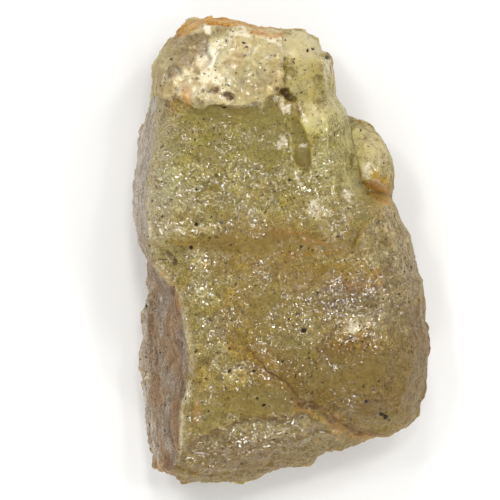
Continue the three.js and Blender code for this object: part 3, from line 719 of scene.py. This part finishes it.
def fine_relief(points, finish):
    """Chips, grain and grit that are too fine for the CAD model, in millimetres."""
    x, y, z = points.T
    crust = smoothstep(*CRUST_STARTS, finish["crust_in"])
    window = smoothstep(*WINDOW_STARTS, finish["window_in"])
    coarse = smoothstep(*COARSE_STARTS, finish["coarse_in"])
    smooth = np.maximum(window, 0.6 * finish["deep"])
    grit, grain = layered(x, y, z, GRIT), layered(x, y, z, GRAIN)
    grain *= smoothstep(*GRAIN_BEGINS, layered(x, y, z, GRAIN_PATCHES))
    chips = facets(x, y, z, **CHIPS)
    blocks = facets(x, y, z, **BLOCKS) * mix(0.85, 0.45, finish["aside"])
    chipped = chips * (0.5 + 0.5 * finish["glints"] + 0.4 * coarse)
    ripples = layered(x + RIPPLE_SLANT[0] * y, y + RIPPLE_SLANT[1] * x, z, RIPPLES)
    rise = (grit + chipped) * (1 - SMOOTHED * smooth) + ripples * finish["glints"]
    rise = mix(rise, blocks + 0.4 * chips + 0.4 * grit, crust)
    rise = mix(rise, GRAIN_RISE * grain + 1.6 * grit + 0.6 * chips, finish["left"])
    breaks = facets(x, 0.7 * y, z, **BREAKS)
    rise += breaks * finish["aside"] * (1 - crust) * smoothstep(*BREAKS_Z, z)
    rise -= PIT_DEPTH * finish["brown"]
    bead = smoothstep(*RIDGE_BEAD["within"], np.abs(finish["ridge_in"])) * (z > RIDGE_BEAD["above"])
    return (rise + RIDGE_BEAD["rise"] * bead) * smoothstep(*RELIEF_Z, z)


def stone_mesh():
    """The stone, with its finish as one attribute for each name."""
    axes = [np.arange(LOW[a], HIGH[a], STEP[a]) for a in range(3)]
    points, faces = surface_of(stone_field(axes))
    normals = normals_of(points, faces)
    finish = finish_of(points, normals)
    points = points + normals * fine_relief(points, finish)[:, None]
    points[:, 2] = np.where(points[:, 2] < FLAT_WITHIN, 0, points[:, 2])
    mesh = bpy.data.meshes.new("rough_beryl")
    mesh.from_pydata(points * MM, [], faces, shade_flat=False)
    for name, values in finish.items():
        attribute = mesh.attributes.new(name, "FLOAT", "POINT")
        attribute.data.foreach_set("value", values.astype(np.float32))
    print("stone:", len(points), "points,", 2 * len(faces), "triangles")
    return mesh


def linear(colour):
    """A colour given from 0 to 255 as seen on a screen, as the shader's own values."""
    screen = [c / 255 for c in colour]
    return [c / 12.92 if c <= 0.04045 else ((c + 0.055) / 1.055) ** 2.4 for c in screen] + [1]


class Nodes:
    """Makes and links the nodes of one material."""

    def __init__(self, name):
        self.material = bpy.data.materials.new(name)
        self.material.use_nodes = True
        self.tree = self.material.node_tree
        self.tree.nodes.clear()
        coordinates = self.tree.nodes.new("ShaderNodeTexCoord")
        self.place = coordinates.outputs["Object"]

    def add(self, kind, inputs=None, **settings):
        node = self.tree.nodes.new(kind)
        for key, value in settings.items():
            setattr(node, key, value)
        for key, value in (inputs or {}).items():
            self.put(node.inputs[key], value)
        return node

    def put(self, socket, value):
        if isinstance(value, bpy.types.NodeSocket):
            self.tree.links.new(value, socket)
        else:
            socket.default_value = value

    def attribute(self, name):
        return self.add("ShaderNodeAttribute", attribute_name=name).outputs["Fac"]

    def scaled(self, x, y, z):
        """The place on the stone, with a pattern of one unit x, y and z millimetres in size."""
        per_metre = (1 / (x * MM), 1 / (y * MM), 1 / (z * MM))
        node = self.add("ShaderNodeMapping", {"Vector": self.place, "Scale": per_metre})
        return node.outputs[0]

    def noise(self, size, detail=3, roughness=0.55, stretch=(1, 1, 1), colour=False):
        """Cloudy noise, with lumps of the given size in millimetres."""
        where = self.scaled(*(size * s for s in stretch))
        inputs = {"Vector": where, "Scale": 1, "Detail": detail, "Roughness": roughness}
        return self.add("ShaderNodeTexNoise", inputs).outputs["Color" if colour else "Fac"]

    def cells(self, size, output, stretch=(1, 1, 1)):
        """Uneven cells of the given size in millimetres: their random colours, or the distance from
        the middle of a cell."""
        where = self.scaled(*(size * s for s in stretch))
        return self.add("ShaderNodeTexVoronoi", {"Vector": where, "Scale": 1}).outputs[output]

    def along(self, span, low=0, high=1):
        """A share that rises along the stone's length, between two places in millimetres."""
        y = self.add("ShaderNodeSeparateXYZ", {"Vector": self.place}).outputs["Y"]
        return self.range(y, span[0] * MM, span[1] * MM, low, high)

    def red(self, colour):
        return self.add("ShaderNodeSeparateColor", {"Color": colour}).outputs["Red"]

    def range(self, value, start, end, low=0, high=1):
        inputs = {"Value": value, "From Min": start, "From Max": end, "To Min": low, "To Max": high}
        return self.add("ShaderNodeMapRange", inputs, interpolation_type="SMOOTHSTEP").outputs[0]

    def math(self, operation, *values, kind="ShaderNodeMath"):
        node = self.add(kind, operation=operation)
        for socket, value in zip(node.inputs, values):
            self.put(socket, value)
        return node.outputs[0]

    def vector(self, operation, *values):
        return self.math(operation, *values, kind="ShaderNodeVectorMath")

    def times(self, vector, factor):
        inputs = {0: vector, "Scale": factor}
        return self.add("ShaderNodeVectorMath", inputs, operation="SCALE").outputs[0]

    def away(self, colour, reach):
        """A colour pattern, as a shift to all sides."""
        return self.times(self.vector("SUBTRACT", colour, (0.5, 0.5, 0.5)), reach)

    def mixed(self, share, first, second, how="MIX"):
        """A mix of two colours, each one made by nodes or given as seen on a screen."""
        node = self.add("ShaderNodeMix", data_type="RGBA", blend_type=how)
        self.put(node.inputs[0], share)
        for socket, colour in zip(node.inputs[6:8], (first, second)):
            self.put(socket, linear(colour) if isinstance(colour, tuple) else colour)
        return node.outputs[2]

    def tinted(self, share, colour, tint):
        return self.mixed(share, colour, tint, "MULTIPLY")

    def ramp(self, value, stops):
        node = self.add("ShaderNodeValToRGB", {"Fac": value})
        elements = node.color_ramp.elements
        elements.remove(elements[0])
        for n, (position, colour) in enumerate(stops):
            element = elements[0] if n == 0 else elements.new(position)
            element.position = position
            element.color = linear(colour)
        return node.outputs["Color"]


FINISH_NAMES = (
    *PATCHES, "ridge_in", "crust_in", "window_in", "block_in", "coarse_in", "speck_in", "crack_off",
    "crack_on", "rim", "aside", "steep", "left", "flange", "flank",
)

# Colours as seen on a screen. A ramp goes from dark to light, with the place of each colour on it.
CRYSTAL_RAMP = [(0, (104, 86, 36)), (0.3, (134, 117, 56)), (0.6, (160, 144, 81)), (1, (206, 193, 133))]
COARSE_RAMP = [(0.25, (90, 72, 36)), (0.5, (124, 106, 59)), (0.75, (178, 163, 108))]
SIDE_RAMP = [(0.15, (90, 72, 54)), (0.42, (134, 116, 94)), (0.6, (164, 152, 134)), (0.85, (214, 209, 197))]
CRUST_RAMP = [(0, (142, 122, 78)), (0.35, (182, 165, 118)), (0.65, (206, 192, 150)), (1, (240, 233, 208))]
BRUISE_AND_GLINT_RAMP = [(0.3, (188, 174, 132)), (0.5, (222, 210, 176)), (0.65, (246, 240, 220))]
FLANK_RAMP = [(0.3, (98, 82, 54)), (0.5, (148, 132, 97)), (0.7, (194, 180, 142))]
GREYS = ((134, 123, 94), (186, 178, 150))
CLEAR_GREENS = ((144, 128, 60), (172, 155, 84))
BLOCK_YELLOWS = ((166, 151, 100), (196, 181, 126))
SMOKY_BROWNS = ((112, 92, 56), (158, 138, 96))
RUSTS = ((214, 166, 80), (160, 104, 32))
RIDGE_GREYS = ((150, 134, 100), (196, 186, 162))
CREAM = (222, 208, 162)
WINDOW_GREEN = (136, 119, 52)
RIM_PALE = (200, 190, 164)
PIT_BROWN = (72, 42, 18)
CRACK_BROWN = (100, 70, 30)
SPECK_BLACK = (34, 23, 8)
TINTS = {
    # The streaks tint is brown bands, partly painted shade of the troughs between the wavelets.
    "broad": (255, 246, 204), "streaks": (188, 174, 134), "shaded": (216, 208, 196),
    "yellow": (252, 225, 128), "warm": (248, 226, 204), "green": (246, 255, 220),
    # The foot tint is painted shade, darker towards the foot of the stone.
    "low_side_shade": (230, 215, 186), "foot": (244, 241, 230), "side": (255, 228, 196),
    # The tint under the ridge is painted shade, partly brown stain.
    "shade_under_ridge": (150, 130, 110), "crust": (255, 236, 204),
}

# Where the looks change along the stone's length: begins and is full
WINDOW_PALER = (21, 19)
CLEARER = (19, 23)
# painted shade on the lower sides that face aside, partly their own warmer colour
LOW_SIDE_SHADE = (8, -4)
# painted shade, darker towards the foot of the stone
SHADE_TOWARDS_FOOT = (4, -16)
SIDE_PALER = (-4, 6)

# Distances from the ridge, negative on the left side, and from a crack: begins and is full
# painted shade just under the ridge on the left side, partly brown stain
SHADE_UNDER_RIDGE = ((-4.5, -0.5), (0, -0.6))
BY_RIDGE = (2, 0.3)
CRACK_LINE = (0.3, 0.08)
CRACK_SHADE = (1.4, 0.1)
SHADE_OFF = 0.4  # how far the shade lies to one side of the line

GLINTS_LEAN = (0.02, 0.15, 0.99)  # the way that the gloss leans where the points of light gather

# The scattered specks: size of a cell with one speck, its size as a share of the cell, and how many
# of the cells have one
SPECK_CELLS = [(3.3, 0.09, 0.8), (2, 0.1, 1), (1.3, 0.13, 0.75), (0.9, 0.15, 0.3)]


class StoneNodes(Nodes):
    """The nodes of the stone's material, with its finish and the patterns that its parts share."""

    def __init__(self):
        super().__init__("beryl")
        self.finish = {name: self.attribute(name) for name in FINISH_NAMES}
        self.crystals = self.cells(2.4, "Color", stretch=(1, 1.3, 1))
        wander = self.away(self.noise(1.6, detail=2, colour=True), 2.4 * MM)
        self.place = self.vector("ADD", self.place, wander)
        self.broad = self.noise(8, detail=2)
        self.cloudy = self.noise(2.6, detail=4, roughness=0.6)
        self.fine = self.noise(0.8, detail=3, roughness=0.65)
        self.grainy = self.noise(0.28, detail=2)
        self.mosaic = self.cells(0.9, "Color")
        self.strands = self.noise(0.5, detail=4, roughness=0.65, stretch=(1, 4.6, 1.6))
        self.crust = self.edge("crust_in", -0.15, 0.25)
        self.window = self.edge("window_in", -0.2, 0.35, 0.5)
        self.coarse = self.edge("coarse_in", -0.2, 0.4)
        self.left = self.edge("left", 0.35, 0.65, 0.5)

    def chain(self, operation, values):
        total = values[0]
        for value in values[1:]:
            total = self.math(operation, total, value)
        return total

    def sum(self, *values):
        return self.chain("ADD", values)

    def product(self, *values):
        return self.chain("MULTIPLY", values)

    def largest(self, *values):
        return self.chain("MAXIMUM", values)

    def without(self, share):
        return self.math("SUBTRACT", 1, share)

    def spread(self, value, amount):
        """A pattern from 0 to 1, as a shift up or down."""
        return self.math("MULTIPLY", self.math("SUBTRACT", value, 0.5), amount)

    def edge(self, name, start, end, ragged=0.9):
        """Where an area is, from the distance to its edge, which wanders a little."""
        return self.range(self.sum(self.finish[name], self.spread(self.fine, ragged)), start, end)

    def much(self, name, share=1.0, clouds=1.3, grains=1.0):
        """A finish that breaks up into clouds and grains where it is weak."""
        given = self.finish[name]
        shifted = self.sum(given, self.spread(self.cloudy, clouds), self.spread(self.fine, grains))
        return self.product(self.range(shifted, 0.05, 0.95), self.range(given, 0, 0.15), share)

    def softly(self, name, share=1.0):
        """A tint that comes and goes in soft clouds."""
        return self.much(name, share, clouds=0.7, grains=0.2)

    def shades(self, colours, start=0.3, end=0.7):
        """Two shades of a colour, finely mixed."""
        return self.mixed(self.range(self.fine, start, end), *colours)


def crystal_colour(n, deep):
    """Cloudy crystal: clear and olive in some places, milky and pale where it is full of fine flaws."""
    milky = n.sum(0.40, n.spread(n.cloudy, 0.6), n.spread(n.fine, 1.0), n.spread(n.grainy, 2.1))
    milky = n.sum(milky, n.spread(n.mosaic, 0.2), n.product(n.much("pale"), 0.28), n.product(n.coarse, 0.05))
    milky = n.math("SUBTRACT", milky, n.product(deep, 0.16))
    colour = n.ramp(milky, CRYSTAL_RAMP)
    colour = n.tinted(n.range(n.broad, 0.35, 0.65, 0, 0.8), colour, TINTS["broad"])
    grained = n.sum(n.fine, n.spread(n.grainy, 1.4))
    colour = n.mixed(n.much("grey", 0.55), colour, n.mixed(n.range(grained, 0.3, 0.7), *GREYS))
    # darker streaks where the gloss is: brown bands, partly painted shade of the troughs between the
    # wavelets
    streaks = n.noise(1.0, detail=3, roughness=0.6, stretch=(3.4, 0.8, 1))
    brown_streaks_and_shade = n.product(n.range(streaks, 0.52, 0.36), n.finish["glints"], 0.8)
    colour = n.tinted(brown_streaks_and_shade, colour, TINTS["streaks"])
    colour = n.mixed(n.much("cream", 0.75), colour, CREAM)
    colour = n.tinted(n.much("shaded", 0.9), colour, TINTS["shaded"])
    for name, share in (("yellow", 1.1), ("warm", 1.0), ("green", 0.9)):
        colour = n.tinted(n.softly(name, share), colour, TINTS[name])
    colour = n.mixed(n.product(deep, 0.6), colour, n.shades(CLEAR_GREENS))
    colour = n.tinted(n.product(n.softly("yellow"), deep, 0.35), colour, TINTS["yellow"])
    colour = n.mixed(n.product(n.window, n.along(WINDOW_PALER, 0.6, 0.9)), colour, WINDOW_GREEN)
    colour = n.mixed(n.product(n.coarse, 0.6), colour, n.ramp(grained, COARSE_RAMP))
    # painted shade on the lower sides that face aside, partly their own warmer colour
    low_side_shade = n.product(n.finish["aside"], n.along(LOW_SIDE_SHADE, 0.1, 0.8))
    # painted shade, darker towards the foot of the stone
    return n.tinted(n.along(SHADE_TOWARDS_FOOT), n.tinted(low_side_shade, colour, TINTS["low_side_shade"]), TINTS["foot"])


def side_colour(n):
    """The grained left side: grey and pale, with brown and dark strands, and painted shade just under the
    ridge, partly brown stain.
    """
    mottled = n.noise(1.5, detail=3, stretch=(1, 2.6, 1))
    tone = n.sum(0.17, n.product(n.strands, 0.6), n.spread(mottled, 0.7), n.spread(n.grainy, 0.9))
    tone = n.sum(tone, n.product(n.finish["flange"], 0.12), n.along(SIDE_PALER, 0, 0.19))
    pale_share = n.largest(n.finish["flange"], n.along(SIDE_PALER))
    browned = n.product(n.range(n.broad, 0.4, 0.6, 0, 0.8), n.without(n.product(pale_share, 0.8)))
    colour = n.tinted(browned, n.ramp(tone, SIDE_RAMP), TINTS["side"])
    # painted shade just under the ridge, partly brown stain
    below = n.product(*(n.range(n.finish["ridge_in"], *span) for span in SHADE_UNDER_RIDGE))
    return n.tinted(n.product(below, 0.3), colour, TINTS["shade_under_ridge"])


def crust_colour(n):
    """The feldspar crust, from smoky grey and cream to white."""
    tone = n.sum(0.29, n.spread(n.cloudy, 0.5), n.spread(n.fine, 0.6), n.spread(n.grainy, 0.9))
    tone = n.sum(tone, n.spread(n.crystals, 0.6), n.spread(n.mosaic, 0.3), n.product(n.much("white"), 0.72))
    in_block = n.product(n.edge("block_in", 0, 0.5), 0.75)
    colour = n.mixed(in_block, n.ramp(tone, CRUST_RAMP), n.shades(BLOCK_YELLOWS))
    colour = n.tinted(n.range(n.broad, 0.45, 0.65, 0, 0.4), colour, TINTS["crust"])
    return n.mixed(n.much("smoky", 0.9), colour, n.shades(SMOKY_BROWNS))


def dark_brown_pits(n):
    """Where a pit is dark brown, with a crisp and uneven edge."""
    dark_marks = n.finish["brown"]
    shifted = n.sum(dark_marks, n.spread(n.fine, 1.6), n.spread(n.grainy, 1.0), n.spread(n.cloudy, 0.8))
    return n.product(n.range(shifted, 0.30, 0.80), n.range(dark_marks, 0, 0.25))


def stained(n, colour):
    """White bruises and painted glints, rust, and dark brown in the pits."""
    # white bruises, and painted glints where the light gathers in small white clusters
    bruises_and_glints = n.ramp(n.sum(n.fine, n.spread(n.grainy, 0.8)), BRUISE_AND_GLINT_RAMP)
    colour = n.mixed(n.product(n.much("white"), n.without(n.crust), 0.85), colour, bruises_and_glints)
    rusty = n.product(n.much("iron", 0.95), n.range(n.grainy, 0.25, 0.55, 0.45, 1))
    colour = n.mixed(rusty, colour, n.shades(RUSTS, 0.3, 0.65))
    return n.mixed(n.product(dark_brown_pits(n), 0.85), colour, PIT_BROWN)


def crack_lines(n):
    """Thin lines along the cracks, with a soft shade on their lower side."""
    off_line = n.sum(n.finish["crack_off"], n.spread(n.fine, 0.5))
    line = n.range(n.math("ABSOLUTE", off_line), *CRACK_LINE)
    shade = n.range(n.math("ABSOLUTE", n.sum(off_line, SHADE_OFF)), *CRACK_SHADE, 0, 0.25)
    line = n.product(n.largest(line, shade), n.finish["crack_on"])
    return n.product(line, n.range(n.cloudy, 0.35, 0.6, 0.4, 1))


def specks(n):
    """Where the dark specks are: the larger ones are placed, and the small ones are scattered."""
    placed = n.sum(n.finish["speck_in"], n.spread(n.fine, 0.9), n.spread(n.grainy, 0.5))
    dark = n.range(placed, 0.0, 0.12)
    for size, share, kept in SPECK_CELLS:
        chosen = n.math("LESS_THAN", n.red(n.cells(size, "Color")), kept)
        distance = n.sum(n.cells(size, "Distance"), n.spread(n.grainy, 0.12))
        dot = n.range(distance, share * 1.3, share * 0.8)
        dark = n.largest(dark, n.product(dot, chosen, 0.9))
    return dark


def chipped_normal(n):
    """Small wavy chips, each of which tilts the gloss its own way. They lean upwards where the points
    of light gather."""
    smooth = n.largest(n.window, n.product(n.finish["deep"], 0.5))
    lively = n.sum(1.0, n.product(n.finish["glints"], -0.25), n.product(n.coarse, -0.4))
    lively = n.product(lively, n.without(n.product(smooth, 0.5)))
    normal = n.add("ShaderNodeNewGeometry").outputs["Normal"]
    upwards = n.vector("SUBTRACT", GLINTS_LEAN, normal)
    lean = n.product(n.finish["glints"], n.without(n.coarse), 0.5)
    normal = n.vector("ADD", normal, n.times(upwards, lean))
    ways = (
        (n.noise(2.6, detail=1, stretch=(1.5, 0.8, 1), colour=True), 0.45),
        (n.noise(0.6, detail=1, roughness=0.6, stretch=(1.5, 0.75, 1), colour=True), 0.6),
        (n.cells(0.38, "Color", stretch=(1.4, 0.8, 1)), 0.65),
    )
    for way, tilt in ways:
        normal = n.vector("ADD", normal, n.away(way, n.product(lively, tilt)))
    return n.vector("NORMALIZE", normal)


def ridge_and_flank(n, colour):
    """The pale grain along the ridge, the worn line of the ridge itself, and the dull right flank."""
    by_ridge = n.product(n.range(n.finish["ridge_in"], *BY_RIDGE, 0, 0.5), n.without(n.left))
    by_ridge = n.product(by_ridge, n.without(n.coarse), n.range(n.strands, 0.35, 0.6, 0.3, 1))
    ridge_grain = n.range(n.sum(n.strands, n.spread(n.grainy, 0.8)), 0.35, 0.65)
    colour = n.mixed(by_ridge, colour, n.mixed(ridge_grain, *RIDGE_GREYS))
    rim = n.product(n.edge("rim", 0.3, 0.9, 1.6), n.range(n.strands, 0.35, 0.65, 0, 0.45))
    colour = n.mixed(rim, colour, RIM_PALE)
    dull = n.ramp(n.sum(n.fine, n.spread(n.cloudy, 0.6), n.spread(n.grainy, 0.8)), FLANK_RAMP)
    return n.mixed(n.product(n.finish["flank"], 0.65), colour, dull)


def gloss_share(n, dullness, dark_marks):
    """How glossy each place is: it gathers in clusters, and is weak on dull, clear or dark-marked places."""
    gathered = n.sum(n.noise(4.5, detail=2), n.product(n.finish["glints"], 0.35), n.product(n.coarse, 0.15))
    upper_clear = n.product(n.along(CLEARER, 0, 0.3), n.without(n.crust))
    clear = n.largest(n.window, n.product(n.finish["deep"], 0.75), upper_clear)
    gloss = n.range(gathered, 0.38, 0.68, 0.15, 0.8)
    weaker = (dullness, 0.8), (clear, 0.9), (dark_marks, 0.95), (n.finish["aside"], 0.15), (n.finish["steep"], 0.7)
    for place, share in weaker:
        gloss = n.product(gloss, n.without(n.product(place, share)))
    return gloss


def beryl_material():
    """Cloudy crystal that lets some light in, under a thin gloss of small wavy chips."""
    n = StoneNodes()
    deep = n.largest(n.much("deep"), n.window)
    colour = ridge_and_flank(n, n.mixed(n.left, crystal_colour(n, deep), side_colour(n)))
    colour = stained(n, n.mixed(n.crust, colour, crust_colour(n)))
    cracks_here, dark = crack_lines(n), specks(n)
    colour = n.mixed(dark, n.mixed(cracks_here, colour, CRACK_BROWN), SPECK_BLACK)

    dullness = n.largest(n.left, n.product(n.finish["flank"], 0.3))
    dark_marks = n.largest(dark, dark_brown_pits(n), cracks_here)
    solid = n.largest(n.product(n.crust, 0.7), n.left, dark)
    height = n.sum(n.product(n.fine, 0.6), n.product(n.grainy, 0.4), n.product(n.strands, n.left))
    bump = n.add("ShaderNodeBump", {"Strength": 0.7, "Distance": 0.3 * MM, "Height": height})
    shader = n.add(
        "ShaderNodeBsdfPrincipled",
        {
            "Base Color": colour,
            "Roughness": n.sum(n.range(dullness, 0, 1, 0.58, 0.75), n.spread(n.fine, 0.3)),
            "IOR": 1.575,
            "Specular IOR Level": 0.12,
            "Normal": bump.outputs[0],
            "Transmission Weight": n.product(n.sum(0.08, n.product(deep, 0.14)), n.without(solid)),
            "Subsurface Weight": 0.8,
            "Subsurface Radius": (1.0, 0.85, 0.55),
            "Subsurface Scale": 4.5 * MM,
            "Coat Weight": gloss_share(n, dullness, dark_marks),
            "Coat Roughness": 0.08,
            "Coat IOR": 1.75,
            "Coat Normal": chipped_normal(n),
        },
    )
    depth = n.add("ShaderNodeVolumeAbsorption", {"Color": (0.78, 0.72, 0.36, 1), "Density": 60})
    n.add("ShaderNodeOutputMaterial", {"Surface": shader.outputs[0], "Volume": depth.outputs[0]})
    return n.material


def add_stone():
    mesh = stone_mesh()
    stone = bpy.data.objects.new("rough_beryl", mesh)
    bpy.context.scene.collection.objects.link(stone)
    mesh.materials.append(beryl_material())
    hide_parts("beryl")
    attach(stone, "root")


FLOOR_HALF = 2.5


def add_floor():
    mesh = bpy.data.meshes.new("floor")
    corners = [(x * FLOOR_HALF, y * FLOOR_HALF, 0) for x, y in ((-1, -1), (1, -1), (1, 1), (-1, 1))]
    mesh.from_pydata(corners, [], [(0, 1, 2, 3)])
    floor = bpy.data.objects.new("floor", mesh)
    bpy.context.scene.collection.objects.link(floor)
    n = Nodes("pale_floor")
    shader = n.add(
        "ShaderNodeBsdfPrincipled",
        {"Base Color": (0.93, 0.925, 0.915, 1), "Roughness": 0.7, "Specular IOR Level": 0.2},
    )
    n.add("ShaderNodeOutputMaterial", {"Surface": shader.outputs[0]})
    mesh.materials.append(n.material)


LIGHTS_AIM = (0, 0, 0.02)
LIGHTS = [
    # name, place in metres, size in metres and power
    ("soft_left", (-0.55, 0.60, 1.0), 0.50, 2.7),
    ("soft_right", (0.65, 0.45, 1.0), 0.50, 2.1),
    ("bright_front", (0.04, -1.08, 0.46), 0.14, 2.0),
    ("bright_foot", (-0.40, -0.95, 0.58), 0.12, 1.35),
    ("bright_near", (0.44, -0.90, 0.62), 0.12, 1.35),
    ("bright_low", (-0.16, -0.92, 0.84), 0.12, 1.2),
    ("bright_middle", (0.06, 0.24, 1.20), 0.12, 1.6),
    ("bright_right", (0.34, 0.36, 1.10), 0.12, 1.5),
    ("bright_left", (-0.30, 0.30, 1.10), 0.12, 1.5),
    ("bright_top", (-0.02, 0.62, 0.95), 0.12, 1.5),
    ("bright_side", (0.52, 0.02, 0.95), 0.12, 1.1),
]
DAYLIGHT = {"colour": (1, 0.995, 0.985, 1), "strength": 0.41}


def add_light(name, place, size, power):
    """A square soft light that faces the stone."""
    data = bpy.data.lights.new(name, "AREA")
    data.size = size
    data.energy = power
    light = bpy.data.objects.new(name, data)
    bpy.context.scene.collection.objects.link(light)
    light.location = place
    towards = Vector(LIGHTS_AIM) - light.location
    light.rotation_euler = towards.to_track_quat("-Z", "Y").to_euler()


def add_lighting():
    world = bpy.data.worlds.new("studio")
    world.use_nodes = True
    background = world.node_tree.nodes["Background"]
    background.inputs["Color"].default_value = DAYLIGHT["colour"]
    background.inputs["Strength"].default_value = DAYLIGHT["strength"]
    bpy.context.scene.world = world
    for name, place, size, power in LIGHTS:
        add_light(name, place, size, power)


# The camera is straight above the stone, with a long lens. Its frame is 500 pixels of 0.21 mm wide at
# the height of the stone's outline.
CAMERA_PLACE = (-0.0066, 0.0002, 1.5)
FRAME_WIDTH = 500 * 0.21 * MM
OUTLINE_HEIGHT = 16 * MM
SENSOR_WIDTH = 36
CLIP_START = 0.01


def add_camera():
    data = bpy.data.cameras.new("camera")
    camera = bpy.data.objects.new("camera", data)
    bpy.context.scene.collection.objects.link(camera)
    data.sensor_width = SENSOR_WIDTH
    data.lens = SENSOR_WIDTH * (CAMERA_PLACE[2] - OUTLINE_HEIGHT) / FRAME_WIDTH
    data.clip_start = CLIP_START
    camera.location = CAMERA_PLACE
    bpy.context.scene.camera = camera


scene = bpy.context.scene
scene.view_settings.view_transform = "Standard"
scene.view_settings.look = "None"
add_camera()
add_lighting()
add_floor()
add_stone()
